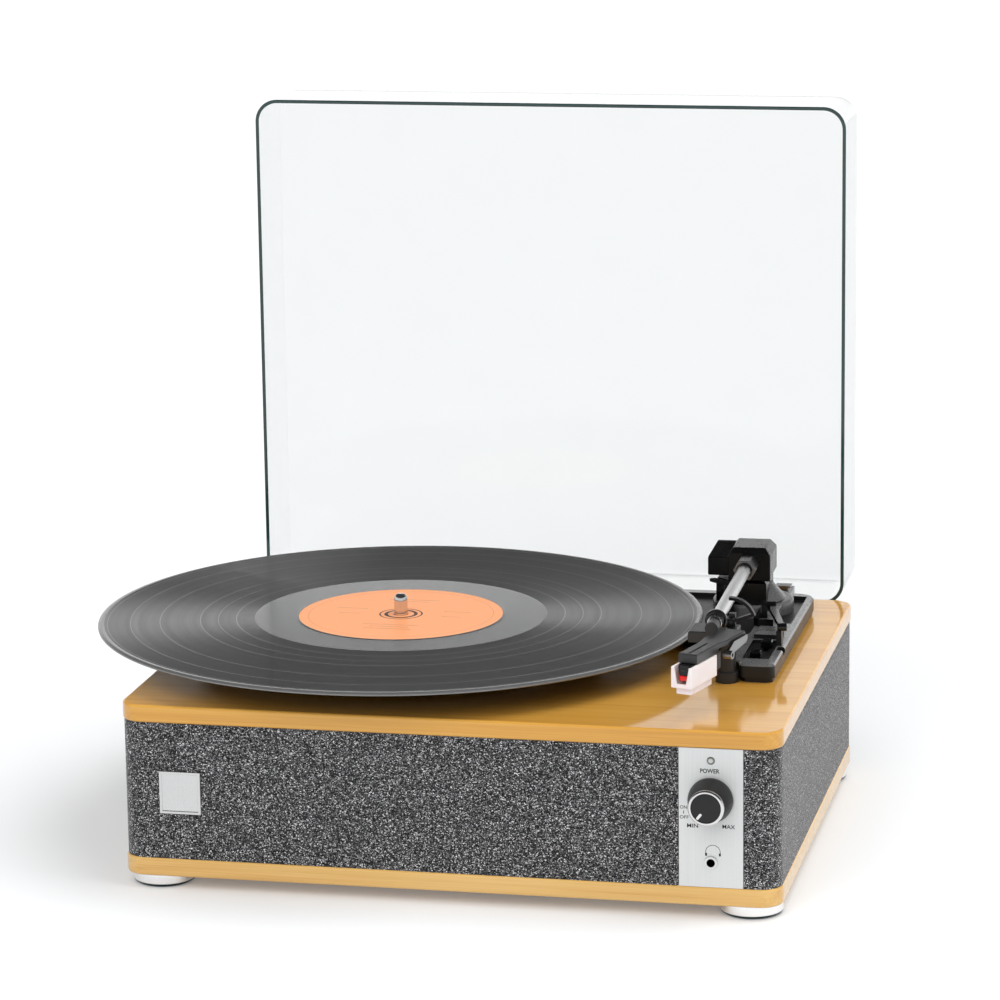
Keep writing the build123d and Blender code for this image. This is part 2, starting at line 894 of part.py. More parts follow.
with BuildPart() as rear_panel:
    with BuildSketch(facing_back(frame_d / 2, 0, band_middle)):
        RectangleRounded(rear_w, rear_h, rear_corner_r)
        with Locations((-line_jack_x, 0)):
            with GridLocations(line_jack_pitch, 0, 2, 1):
                Circle(line_jack_stud_r + shaft_gap, mode=Mode.SUBTRACT)
        with Locations((-dc_x, 0)):
            Circle(dc_neck_r + shaft_gap, mode=Mode.SUBTRACT)
    extrude(amount=rear_t)
finish(rear_panel, "rear_panel")

rear_face = frame_d / 2 + rear_t
with BuildPart() as line_jacks:
    with BuildSketch(facing_back(rear_face, line_jack_x, band_middle)):
        with GridLocations(line_jack_pitch, 0, 2, 1):
            Circle(line_jack_flange_r)
    extrude(amount=line_jack_flange_t)
    with BuildSketch(facing_back(rear_face, line_jack_x, band_middle)):
        with GridLocations(line_jack_pitch, 0, 2, 1):
            Circle(line_jack_r)
    extrude(amount=line_jack_len)
    with BuildSketch(facing_back(rear_face, line_jack_x, band_middle)):
        with GridLocations(line_jack_pitch, 0, 2, 1):
            Circle(line_jack_stud_r)
    extrude(amount=-line_jack_stud_len)
    with BuildSketch(facing_back(frame_d / 2, line_jack_x, band_middle)):
        with GridLocations(line_jack_pitch, 0, 2, 1):
            RegularPolygon(line_jack_nut_r, 6)
    extrude(amount=-line_jack_nut_t)
    with BuildSketch(facing_back(rear_face + line_jack_len, line_jack_x, band_middle)):
        with GridLocations(line_jack_pitch, 0, 2, 1):
            Circle(line_jack_bore_r)
    extrude(amount=-line_jack_bore_len, mode=Mode.SUBTRACT)
finish(line_jacks, "line_jacks")

with BuildPart() as dc_inlet:
    with BuildSketch(facing_back(frame_d / 2, dc_x, band_middle)):
        Rectangle(dc_w, dc_w)
    extrude(amount=-dc_d)
    with BuildSketch(facing_back(frame_d / 2, dc_x, band_middle)):
        Circle(dc_neck_r)
    extrude(amount=rear_t)
    with BuildSketch(facing_back(rear_face, dc_x, band_middle)):
        Circle(dc_bore_r)
    extrude(amount=-dc_bore_depth, mode=Mode.SUBTRACT)
    with BuildSketch(facing_back(rear_face - dc_bore_depth, dc_x, band_middle)):
        Circle(dc_pin_r)
    extrude(amount=dc_pin_len)
finish(dc_inlet, "dc_inlet")

# Main board on four standoffs

with BuildPart() as board_standoffs:
    with BuildSketch(level(band_bottom, board_x, board_y)):
        with GridLocations(board_w - 2 * standoff_in, board_len - 2 * standoff_in, 2, 2):
            Circle(standoff_r)
    extrude(amount=board_lift)
finish(board_standoffs, "board_standoffs")

with BuildPart() as main_board:
    with BuildSketch(level(band_bottom + board_lift, board_x, board_y)):
        Rectangle(board_w, board_len)
    extrude(amount=board_t)
    with BuildSketch(level(band_bottom + board_lift + board_t, board_x, board_y)):
        with Locations((-board_w / 4, board_len / 4)):
            Rectangle(sink_w, sink_d)
    extrude(amount=sink_h)
    with BuildSketch(level(band_bottom + board_lift + board_t, board_x, board_y)):
        with Locations((board_w / 4, 0)):
            with GridLocations(0, board_len / 3, 1, 2):
                Circle(capacitor_r)
    extrude(amount=capacitor_h)
finish(main_board, "main_board")

# Platter bearing, spindle, platter, mat and record

with BuildPart() as platter_bearing:
    with BuildSketch(level(bush_bottom, platter_x, platter_y)):
        Circle(bush_r)
    extrude(amount=bush_below + top_panel_t + bush_rise)
    with BuildSketch(level(deck - top_panel_t, platter_x, platter_y)):
        Circle(bush_flange_r)
    extrude(amount=-bush_flange_t)
    with BuildSketch(level(deck + bush_rise, platter_x, platter_y)):
        Circle(spindle_seat_r + shaft_gap)
    bore_len = bush_below + top_panel_t + bush_rise - bush_floor + slip_gap
    extrude(amount=-bore_len, mode=Mode.SUBTRACT)
finish(platter_bearing, "platter_bearing")

with BuildPart() as spindle:
    with BuildSketch(level(spindle_bottom, platter_x, platter_y)):
        Circle(spindle_seat_r)
    extrude(amount=record_top - spindle_bottom)
    with BuildSketch(level(record_top, platter_x, platter_y)):
        Circle(spindle_r)
    extrude(amount=spindle_top - record_top)
    fillet(spindle.edges().group_by(Axis.Z)[-1], spindle_tip_r)
    with BuildSketch(level(platter_bottom, platter_x, platter_y)):
        Circle(spindle_collar_r)
    extrude(amount=-spindle_collar_t)
finish(spindle, "spindle")

with BuildPart() as platter:
    with BuildSketch(level(platter_bottom, platter_x, platter_y)):
        Circle(platter_r)
    extrude(amount=platter_h)
    fillet(platter.edges(), platter_edge_r)
    with BuildSketch(level(platter_bottom, platter_x, platter_y)):
        Circle(platter_r - platter_rim_w)
        Circle(drum_r, mode=Mode.SUBTRACT)
        Circle(drum_r - drum_w)
        Circle(hub_r, mode=Mode.SUBTRACT)
    extrude(amount=platter_h - platter_web_t, mode=Mode.SUBTRACT)
    with BuildSketch(level(platter_bottom, platter_x, platter_y)):
        Circle(spindle_seat_r + hub_gap)
    extrude(amount=platter_h, mode=Mode.SUBTRACT)
finish(platter, "platter")

with BuildPart() as slipmat:
    with BuildSketch(level(platter_top, platter_x, platter_y)):
        Circle(mat_r)
        Circle(mat_bore_r, mode=Mode.SUBTRACT)
    extrude(amount=mat_t)
finish(slipmat, "slipmat")

with BuildPart() as record:
    with BuildSketch(level(record_bottom, platter_x, platter_y)):
        Circle(record_r)
    extrude(amount=record_t)
    fillet(record.edges(), record_rim_r)
    with BuildSketch(level(record_bottom, platter_x, platter_y)):
        Circle(record_label_r + hub_gap)
    extrude(amount=record_label_t, mode=Mode.SUBTRACT)
    with BuildSketch(level(record_top, platter_x, platter_y)):
        Circle(record_label_r + hub_gap)
    extrude(amount=-record_label_t, mode=Mode.SUBTRACT)
    with BuildSketch(level(record_bottom, platter_x, platter_y)):
        Circle(record_bore_r)
    extrude(amount=record_t, mode=Mode.SUBTRACT)
finish(record, "record")

with BuildPart() as record_label:
    with BuildSketch(level(record_bottom, platter_x, platter_y)):
        Circle(record_label_r)
        Circle(record_bore_r, mode=Mode.SUBTRACT)
    extrude(amount=record_label_t)
    with BuildSketch(level(record_top, platter_x, platter_y)):
        Circle(record_label_r)
        Circle(record_bore_r, mode=Mode.SUBTRACT)
    extrude(amount=-record_label_t)
finish(record_label, "record_label")

# Motor, its bracket, the pulley and the belt round the drum

with BuildPart() as motor_bracket:
    with BuildSketch(level(deck - top_panel_t, motor_x, motor_y)):
        RectangleRounded(motor_bracket_w, motor_bracket_d, motor_corner_r)
        Circle(motor_boss_r, mode=Mode.SUBTRACT)
    extrude(amount=-motor_bracket_t)
finish(motor_bracket, "motor_bracket")

motor_top = deck - top_panel_t - motor_bracket_t
with BuildPart() as motor:
    with BuildSketch(level(motor_top - motor_h, motor_x, motor_y)):
        Circle(motor_r)
    extrude(amount=motor_h)
    fillet(motor.edges().group_by(Axis.Z)[0], motor_edge_r)
    with BuildSketch(level(motor_top, motor_x, motor_y)):
        Circle(motor_shaft_r + shaft_gap)
    extrude(amount=-(motor_shaft_depth + slip_gap), mode=Mode.SUBTRACT)
finish(motor, "motor")

pulley_bottom = deck + pulley_lift
with BuildPart() as motor_pulley:
    with BuildSketch(level(pulley_bottom, motor_x, motor_y)):
        Circle(pulley_flange_r)
    extrude(amount=pulley_flange_t)
    with BuildSketch(level(pulley_bottom + pulley_flange_t, motor_x, motor_y)):
        Circle(pulley_r)
    extrude(amount=pulley_groove)
    with BuildSketch(level(pulley_bottom + pulley_flange_t + pulley_groove, motor_x, motor_y)):
        Circle(pulley_flange_r)
    extrude(amount=pulley_flange_t)
    with BuildSketch(level(motor_top - motor_shaft_depth, motor_x, motor_y)):
        Circle(motor_shaft_r)
    extrude(amount=pulley_bottom - motor_top + motor_shaft_depth)
finish(motor_pulley, "motor_pulley")

with BuildPart() as drive_belt:
    for outward, action in ((belt_t, Mode.ADD), (0, Mode.SUBTRACT)):
        with BuildSketch(level(belt_bottom)):
            with Locations((platter_x, platter_y)):
                Circle(drum_r + belt_gap + outward)
            with Locations((motor_x, motor_y)):
                Circle(pulley_r + belt_gap + outward)
            make_hull()
        extrude(amount=belt_w, mode=action)
finish(drive_belt, "drive_belt")

# Base plate of the tonearm with its recesses, slots and small posts


def base_outline(inset):
    """Corners of the base plate's outline, moved inwards."""
    left = base_left + inset
    right = base_right - inset
    front = base_front + inset
    back = base_back - inset
    nose_left = base_nose_left + inset
    nose_back = base_front + base_nose_len + inset
    waist_left = base_waist_left + inset
    turret_front = base_back - base_turret_len + inset / 2
    return (
        (right, front),
        (nose_left, front),
        (nose_left, nose_back),
        (waist_left, nose_back),
        (waist_left, base_waist_back + inset / 2),
        (left, turret_front),
        (left, back),
        (right, back),
    )


with BuildPart() as arm_base:
    with BuildSketch(level(deck)) as outline:
        with BuildLine():
            Polyline(*base_outline(base_plinth_in), close=True)
        make_face()
        fillet(outline.vertices(), base_corner_r)
    extrude(amount=base_plinth_h)
    with BuildSketch(level(deck + base_plinth_h)) as outline:
        with BuildLine():
            Polyline(*base_outline(0), close=True)
        make_face()
        far_corner = outline.vertices().sort_by(lambda corner: corner.X + corner.Y)[-1]
        fillet(far_corner, base_back_corner_r)
        sharp = outline.vertices().sort_by(lambda corner: corner.X + corner.Y)[:-2]
        fillet(sharp, base_corner_r)
    extrude(amount=base_h - base_plinth_h)
    chamfer(arm_base.edges().group_by(Axis.Z)[-1], base_edge)
    with BuildSketch(level(deck + base_h)):
        with BuildLine():
            Polyline(*base_outline(rear_bed_in), close=True)
        make_face()
        with Locations((0, rear_bed_front + base_back)):
            Rectangle(2 * base_right, 2 * base_back, mode=Mode.INTERSECT)
        with Locations((0, base_back)):
            Rectangle(2 * base_right, 2 * rear_bed_back_in, mode=Mode.SUBTRACT)
    extrude(amount=-rear_bed_depth, mode=Mode.SUBTRACT)
    with BuildSketch(level(deck + base_h)):
        with BuildLine():
            Polyline(*base_outline(rear_bed_in), close=True)
        make_face()
        with Locations((round_bed_right - base_right, round_bed_front + base_right)):
            RectangleRounded(2 * base_right, 2 * base_right, round_bed_corner_r, mode=Mode.INTERSECT)
        with Locations((0, base_back)):
            Rectangle(2 * base_right, 2 * rear_bed_back_in, mode=Mode.SUBTRACT)
    extrude(amount=-round_bed_depth, mode=Mode.SUBTRACT)
    bed_x = base_right - switch_bed_right_in - switch_bed_w / 2
    with BuildSketch(level(deck + base_h, bed_x, switch_bed_y + switch_bed_len / 2)):
        Rectangle(switch_bed_w, switch_bed_len)
    extrude(amount=-switch_bed_depth, mode=Mode.SUBTRACT)
    with BuildSketch(level(deck + base_h, base_right, notch_y)):
        Rectangle(2 * notch_w, notch_len)
    extrude(amount=-notch_depth, mode=Mode.SUBTRACT)
    with BuildSketch(level(deck + base_h, bed_x, block_front + block_len / 2)):
        Rectangle(switch_bed_w, block_len)
    extrude(amount=block_h)
    chamfer(arm_base.faces().sort_by(Axis.Z)[-1].edges(), block_chamfer)
    with BuildSketch(level(deck + base_h, cue_stop_x, cue_stop_y)):
        Rectangle(cue_stop_w, cue_stop_len)
    extrude(amount=cue_h - base_h - cue_knob_r - run_gap)
    for x, y, way in ((speed_switch_x, speed_switch_y, 1), (stop_switch_x, stop_switch_y, -1)):
        with BuildSketch(level(deck + switch_bed_h, x, y + way * switch_travel / 2)):
            Rectangle(switch_slot_w, switch_stem_len + switch_travel + 2 * run_gap)
        extrude(amount=-switch_slot_depth, mode=Mode.SUBTRACT)
    plunger_x = pivot_x - cue_lift_r * sin(radians(cue_plunger_at))
    plunger_y = pivot_y - cue_lift_r * cos(radians(cue_plunger_at))
    with BuildSketch(level(deck + rear_bed_h, plunger_x, plunger_y)):
        Circle(cue_plunger_r + shaft_gap)
    extrude(amount=-cue_bore_depth, mode=Mode.SUBTRACT)
finish(arm_base, "arm_base")

# Two sliding switches in their slots

switch_list = (
    ("speed_switch", speed_switch_x, speed_switch_y),
    ("auto_stop_switch", stop_switch_x, stop_switch_y),
)
for name, x, y in switch_list:
    with BuildPart() as switch:
        with BuildSketch(level(deck + switch_bed_h + run_gap, x, y)):
            Rectangle(switch_cap_w, switch_cap_len)
        extrude(amount=switch_cap_h)
        chamfer(switch.edges().group_by(Axis.Z)[-1], switch_edge)
        with BuildSketch(level(deck + switch_bed_h + run_gap, x, y)):
            Rectangle(switch_slot_w - 2 * run_gap, switch_stem_len)
        extrude(amount=-(switch_stem_depth + run_gap))
    finish(switch, name)

# Skirt, cone and pedestal that stand in the rear recess, with the lug of the cue lever

with BuildPart() as arm_turret_skirt:
    with BuildSketch(level(deck + rear_bed_h, pivot_x, pivot_y)):
        Circle(skirt_r)
    extrude(amount=skirt_h)
    fillet(arm_turret_skirt.edges().group_by(Axis.Z)[-1], skirt_edge_r)
    cone_bottom = deck + rear_bed_h + skirt_h
    with BuildSketch(level(cone_bottom, pivot_x, pivot_y)):
        Circle(skirt_cone_r)
    with BuildSketch(level(cone_bottom + skirt_cone_h, pivot_x, pivot_y)):
        Circle(skirt_cone_top_r)
    loft()
    pedestal_w = pedestal_right - pedestal_left
    pedestal_len = pedestal_back - pedestal_front
    with BuildSketch(level(deck + rear_bed_h, pedestal_left, pedestal_front)):
        with BuildLine():
            Polyline(
                (0, pedestal_bevel),
                (pedestal_bevel, 0),
                (pedestal_w, 0),
                (pedestal_w, pedestal_len),
                (0, pedestal_len),
                close=True,
            )
        make_face()
    extrude(amount=pedestal_top - rear_bed_h)
    chamfer(arm_turret_skirt.faces().sort_by(Axis.Z)[-1].edges(), pedestal_edge)
    tongue_w = tongue_right - tongue_left
    with BuildSketch(level(deck + base_h, tongue_left, tongue_front)):
        with BuildLine():
            Polyline(
                (0, tongue_w),
                (0, tongue_chamfer),
                (tongue_chamfer, 0),
                (tongue_w, 0),
                (tongue_w, pivot_y - tongue_front),
                (0, pivot_y - tongue_front),
                close=True,
            )
        make_face()
    extrude(amount=tongue_h)
    lug_across = -(cue_w / 2 + cue_side_gap + cue_lug_w / 2)
    with BuildSketch(flat_plane(base_h, *cue_frame, across=lug_across)):
        Rectangle(cue_lug_w, cue_lug_len)
    extrude(amount=cue_h - base_h + cue_lug_over)
    with BuildSketch(side_plane(*cue_frame, across=-(cue_w / 2 + cue_side_gap + cue_lug_w))):
        with Locations((0, cue_h)):
            Circle(cue_pin_r)
    extrude(amount=cue_w + cue_side_gap + cue_lug_w + run_gap)
    with BuildSketch(level(deck + pedestal_top, pivot_x, pivot_y)):
        Circle(yoke_shaft_r + shaft_gap)
    extrude(amount=-yoke_shaft_len, mode=Mode.SUBTRACT)
finish(arm_turret_skirt, "arm_turret_skirt")

# Yoke that turns in the pedestal, and the pin across it

yoke_bottom = pedestal_top + yoke_gap
with BuildPart() as arm_post:
    with BuildSketch(flat_plane(yoke_bottom, *arm_frame)):
        Rectangle(yoke_w, yoke_len)
    extrude(amount=yoke_top - yoke_bottom)
    with BuildSketch(flat_plane(yoke_bottom, *arm_frame)):
        Circle(yoke_shaft_r)
    extrude(amount=-(yoke_shaft_len - run_gap))
    with BuildSketch(side_plane(*arm_frame, across=-yoke_w)):
        with Locations((0, arm_h)):
            Circle(pin_r + hub_gap)
    extrude(amount=2 * yoke_w, mode=Mode.SUBTRACT)
finish(arm_post, "arm_post")

with BuildPart() as arm_pivot_pin:
    with BuildSketch(side_plane(*arm_frame, across=-pin_len / 2)):
        with Locations((0, arm_h)):
            Circle(pin_r)
    extrude(amount=pin_len)
finish(arm_pivot_pin, "arm_pivot_pin")

# Head of the tonearm: main block, side wing and the space for the yoke

head_l = head_left - pivot_x
head_r = head_right - pivot_x
head_f = head_front - pivot_y
head_b = head_back - pivot_y
wing_l = wing_left - pivot_x
wing_f = wing_front - pivot_y
with BuildPart() as head_block:
    with BuildSketch(side_plane(*arm_frame, across=head_l)):
        with BuildLine():
            Polyline(
                (head_f, apron_bottom),
                (head_f, head_top - head_front_bevel_h),
                (head_f + head_front_bevel, head_top),
                (head_b - head_back_bevel, head_top),
                (head_b, head_top - head_back_drop),
                (head_b, head_bottom),
                (head_f + apron_t, head_bottom),
                (head_f + apron_t, apron_bottom),
                close=True,
            )
        make_face()
    extrude(amount=head_r - head_l)
    with BuildSketch(front_plane(*arm_frame, back=head_f)):
        with BuildLine():
            Polyline(
                (head_l, 0),
                (head_l, head_top - head_bevel_h),
                (head_l + head_bevel_w, head_top),
                (head_r - head_bevel_w, head_top),
                (head_r, head_top - head_bevel_h),
                (head_r, 0),
                close=True,
            )
        make_face()
    extrude(amount=head_f - head_b, mode=Mode.INTERSECT)
    with BuildSketch(side_plane(*arm_frame, across=wing_l)):
        with BuildLine():
            Polyline(
                (wing_f, head_bottom),
                (wing_f, wing_top),
                (wing_f + wing_slope_len, wing_top + wing_rise),
                (head_b - head_back_bevel, wing_top + wing_rise),
                (head_b, head_top - head_back_drop),
                (head_b, head_bottom),
                close=True,
            )
        make_face()
    extrude(amount=head_l - wing_l + head_bevel_w)
    with BuildSketch(front_plane(*arm_frame, back=wing_f)):
        with BuildLine():
            Polyline(
                (wing_l, wing_top),
                (wing_l + wing_bevel, wing_top + wing_rise),
                (wing_l + wing_bevel, head_top),
                (wing_l, head_top),
                close=True,
            )
        make_face()
    extrude(amount=wing_f - head_b, mode=Mode.SUBTRACT)
    cavity_len = head_b - head_f - cavity_front_in - cavity_back_in
    cavity_back = head_b - cavity_back_in - cavity_len / 2
    with BuildSketch(flat_plane(cavity_top, *arm_frame, back=cavity_back)):
        Rectangle(cavity_w, cavity_len)
    extrude(amount=-cavity_top, mode=Mode.SUBTRACT)
    with BuildSketch(side_plane(*arm_frame, across=-pin_len / 2 - slip_gap)):
        with Locations((0, arm_h)):
            Circle(pin_r + pin_gap)
    extrude(amount=pin_len + 2 * slip_gap, mode=Mode.SUBTRACT)
    with BuildSketch(across_arm(-head_f)):
        Circle(tube_r + hub_gap)
    extrude(amount=head_f + tube_root - slip_gap, mode=Mode.SUBTRACT)
finish(head_block, "head_block")

with BuildPart() as arm_collar:
    with BuildSketch(across_arm(-head_f)):
        RegularPolygon(collar_across / 2, 6, major_radius=False)
        Circle(tube_r + hub_gap, mode=Mode.SUBTRACT)
    extrude(amount=collar_len)
    with BuildSketch(across_arm(collar_len - head_f)):
        Circle(collar_bore_r)
    extrude(amount=-collar_bore_depth, mode=Mode.SUBTRACT)
finish(arm_collar, "arm_collar")

with BuildPart() as arm_tube:
    with BuildSketch(across_arm(tube_root)):
        Circle(tube_r)
    extrude(amount=tube_reach - tube_root)
    with BuildSketch(across_arm(tube_reach)):
        Circle(neck_r)
    extrude(amount=neck_len)
    with BuildSketch(across_arm(tube_root)):
        Circle(neck_r - tube_wall)
    extrude(amount=tube_reach + neck_len - tube_root, mode=Mode.SUBTRACT)
finish(arm_tube, "arm_tube")

with BuildPart() as lock_ring:
    with BuildSketch(across_arm(tube_reach)):
        Circle(ring_r)
    extrude(amount=ring_len)
    chamfer(lock_ring.edges(), ring_edge)
    with BuildSketch(across_arm(tube_reach + ring_len)):
        Circle(ring_nut_r)
    extrude(amount=ring_nut_len)
    with BuildSketch(across_arm(tube_reach)):
        Circle(neck_r + hub_gap)
    extrude(amount=ring_len + ring_nut_len, mode=Mode.SUBTRACT)
finish(lock_ring, "lock_ring")

# Headshell, finger lift, cartridge, stylus and its slide-off guard

with BuildPart() as headshell:
    front_half = shell_front_w / 2
    rear_half = shell_rear_w / 2
    shell_len = shell_front_len + shell_rear_len
    with BuildSketch(flat_plane(shell_top, *shell_frame)):
        with BuildLine():
            Polyline(
                (-front_half, 0),
                (front_half, 0),
                (front_half, shell_front_len),
                (rear_half, shell_front_len + shell_widen),
                (rear_half, shell_len),
                (-rear_half, shell_len),
                (-rear_half, shell_front_len + shell_widen),
                (-front_half, shell_front_len),
                close=True,
            )
        make_face()
    extrude(amount=-shell_rear_t)
    with BuildSketch(flat_plane(shell_rear_bottom, *shell_frame, back=shell_front_len / 2)):
        Rectangle(shell_front_w, shell_front_len)
    extrude(amount=shell_rear_t - shell_front_t)
    chamfer(headshell.faces().sort_by(Axis.Z)[-1].edges(), shell_edge)
    slot_middle = shell_slot_in + shell_slot_len / 2
    with BuildSketch(flat_plane(shell_top, *shell_frame, back=slot_middle)):
        Rectangle(shell_slot_w, shell_slot_len)
    extrude(amount=-shell_slot_depth, mode=Mode.SUBTRACT)
    coupling_front = tube_reach + neck_len - coupling_in
    with BuildSketch(across_arm(coupling_front)):
        Circle(coupling_r)
    extrude(amount=coupling_len)
    with BuildSketch(
        flat_plane(
            shell_rear_bottom,
            *arm_frame,
            across=coupling_right / 2,
            back=-(coupling_front + coupling_len / 2),
        )
    ):
        Rectangle(coupling_right, coupling_len)
    extrude(amount=shell_rear_t)
    with BuildSketch(across_arm(coupling_front)):
        Circle(neck_r + hub_gap)
    extrude(amount=coupling_in + slip_gap, mode=Mode.SUBTRACT)
finish(headshell, "headshell")

lift_end = lift_root - lift_flat - lift_len
with BuildPart() as finger_lift:
    lift_top = shell_rear_bottom + lift_t
    with BuildSketch(side_plane(*shell_frame, across=rear_half)):
        with BuildLine():
            Polyline(
                (lift_root, lift_top),
                (lift_root, lift_top - lift_h + lift_corner),
                (lift_root - lift_corner, lift_top - lift_h),
                (lift_end, lift_top - lift_drop - lift_tip_h),
                (lift_end, lift_top - lift_drop),
                (lift_root - lift_flat, lift_top),
                close=True,
            )
        make_face()
    extrude(amount=lift_w)
    with BuildSketch(side_plane(*shell_frame, across=rear_half)):
        with Locations((lift_end, lift_top - lift_drop - lift_tip_h + lift_curl_r)):
            Circle(lift_curl_r)
            Circle(lift_curl_r - lift_t, mode=Mode.SUBTRACT)
    extrude(amount=lift_curl_w)
finish(finger_lift, "finger_lift")

with BuildPart() as cartridge:
    cartridge_middle = cartridge_front_in + cartridge_len / 2
    with BuildSketch(flat_plane(shell_front_bottom, *shell_frame, back=cartridge_middle)):
        Rectangle(cartridge_w, cartridge_len)
    extrude(amount=-cartridge_h)
    rear_middle = cartridge_front_in + cartridge_len - cartridge_rear_len / 2
    with BuildSketch(flat_plane(shell_front_bottom, *shell_frame, back=rear_middle)):
        Rectangle(cartridge_w, cartridge_rear_len)
    extrude(amount=-cartridge_rear_h)
finish(cartridge, "cartridge")

stylus_top = shell_front_bottom - cartridge_h
with BuildPart() as stylus:
    with BuildSketch(
        flat_plane(stylus_top, *shell_frame, back=stylus_front_in + stylus_len / 2)
    ):
        Rectangle(stylus_w, stylus_len)
    extrude(amount=-stylus_h)
    with BuildSketch(
        flat_plane(stylus_top - stylus_h, *shell_frame, back=stylus_front_in + needle_in)
    ):
        Circle(needle_r)
    extrude(amount=-needle_len)
finish(stylus, "stylus")

guard_top = shell_front_bottom - guard_gap
with BuildPart() as stylus_guard:
    guard_middle = guard_front_in + guard_len / 2
    with BuildSketch(flat_plane(guard_bottom, *shell_frame, back=guard_middle)):
        Rectangle(guard_w - 2 * guard_step_w, guard_len - 2 * guard_step_len)
    extrude(amount=guard_step_h)
    with BuildSketch(flat_plane(guard_bottom + guard_step_h, *shell_frame, back=guard_middle)):
        Rectangle(guard_w, guard_len)
    extrude(amount=guard_top - guard_bottom - guard_step_h)
    step_in = guard_front_in + guard_step_len + guard_wall
    with BuildSketch(
        flat_plane(guard_bottom + guard_wall, *shell_frame, back=step_in + guard_len / 2)
    ):
        Rectangle(guard_w - 2 * (guard_step_w + guard_wall), guard_len)
    extrude(amount=guard_step_h, mode=Mode.SUBTRACT)
    inner_floor = guard_bottom + guard_step_h + guard_wall
    inner_middle = guard_front_in + guard_wall + guard_len / 2
    with BuildSketch(flat_plane(inner_floor, *shell_frame, back=inner_middle)):
        Rectangle(guard_w - 2 * guard_wall, guard_len)
    extrude(amount=guard_top - inner_floor, mode=Mode.SUBTRACT)
    with BuildSketch(front_plane(*shell_frame, back=guard_front_in)):
        with BuildLine():
            Polyline(
                (-guard_slot_w / 2, guard_slot_floor),
                (guard_slot_w / 2, guard_slot_floor),
                (guard_slot_top_w / 2, guard_top),
                (-guard_slot_top_w / 2, guard_top),
                close=True,
            )
        make_face()
    extrude(amount=-(guard_wall + slip_gap), mode=Mode.SUBTRACT)
finish(stylus_guard, "stylus_guard")

# Arm rest with its saddle, and the clip that closes over the tube

rest_reach = pivot_y - rest_y
tube_x = pivot_x + rest_reach * sin(radians(arm_turn))
seat_top = arm_h - tube_r - rest_seat_gap
table_bottom = rest_table_top - rest_table_t
with BuildPart() as arm_rest:
    with BuildSketch(level(deck, rest_x, rest_y)):
        Circle(rest_foot_r)
    extrude(amount=rest_foot_h)
    fillet(arm_rest.edges().group_by(Axis.Z)[-1], rest_edge)
    with BuildSketch(level(deck + rest_foot_h, rest_x, rest_y)):
        Circle(rest_post_r)
    extrude(amount=table_bottom - rest_foot_h)
    table_x = (rest_table_left + rest_table_right) / 2
    with BuildSketch(level(deck + table_bottom, table_x, rest_y - rest_table_fore)):
        Rectangle(rest_table_right - rest_table_left, rest_table_len)
    extrude(amount=rest_table_t)
    chamfer(arm_rest.faces().sort_by(Axis.Z)[-1].edges(), rest_edge)
    with BuildSketch(level(deck + rest_table_top, tube_x, rest_y)):
        Rectangle(rest_saddle_w, rest_saddle_len)
    extrude(amount=seat_top - rest_table_top)
    lug_y = rest_y - rest_saddle_len / 2 + rest_lug_len / 2
    with BuildSketch(level(deck + rest_table_top, rest_lug_x, lug_y)):
        Rectangle(rest_lug_w, rest_lug_len)
    extrude(amount=rest_lug_h)
    with BuildSketch(facing_front(lug_y, rest_lug_x, deck + clip_h)):
        Circle(clip_pin_r)
    extrude(amount=rest_lug_len / 2 + 2 * run_gap + clip_w)
finish(arm_rest, "arm_rest")

clip_back = lug_y - rest_lug_len / 2 - run_gap
with BuildPart() as arm_clip:
    clip_outer_r = clip_inner_r + clip_t
    clip_sweep = clip_to - clip_from
    with BuildSketch(facing_front(clip_back, rest_lug_x, deck + clip_h)):
        with BuildLine():
            CenterArc((0, 0), clip_outer_r, clip_from, clip_sweep)
            CenterArc((0, 0), clip_inner_r, clip_from, clip_sweep)
            for turn in (clip_from, clip_to):
                Line(
                    (clip_inner_r * cos(radians(turn)), clip_inner_r * sin(radians(turn))),
                    (clip_outer_r * cos(radians(turn)), clip_outer_r * sin(radians(turn))),
                )
        make_face()
        Circle(clip_hub_r)
        with PolarLocations(clip_outer_r / 2, 1, clip_from):
            Rectangle(clip_outer_r, clip_bar_w)
        Circle(clip_pin_r + shaft_gap, mode=Mode.SUBTRACT)
    extrude(amount=clip_w)
finish(arm_clip, "arm_clip")

# Cue lever and the curved bar that lifts the tube

with BuildPart() as cue_lever:
    with BuildSketch(flat_plane(cue_h - cue_t / 2, *cue_frame)):
        with BuildLine():
            Polyline(
                (-cue_w / 2, 0),
                (-cue_tip_w / 2, -cue_len),
                (cue_tip_w / 2, -cue_len),
                (cue_w / 2, 0),
                close=True,
            )
        make_face()
    extrude(amount=cue_t)
    with BuildSketch(side_plane(*cue_frame, across=-cue_w / 2)):
        with Locations((0, cue_h)):
            Circle(cue_hub_r)
    extrude(amount=cue_w)
    with BuildSketch(side_plane(*cue_frame, across=-cue_knob_len / 2)):
        with Locations((-cue_len, cue_h)):
            Circle(cue_knob_r)
    extrude(amount=cue_knob_len)
    with BuildSketch(side_plane(*cue_frame, across=-cue_w)):
        with Locations((0, cue_h)):
            Circle(cue_pin_r + pin_gap)
    extrude(amount=2 * cue_w, mode=Mode.SUBTRACT)
finish(cue_lever, "cue_lever")

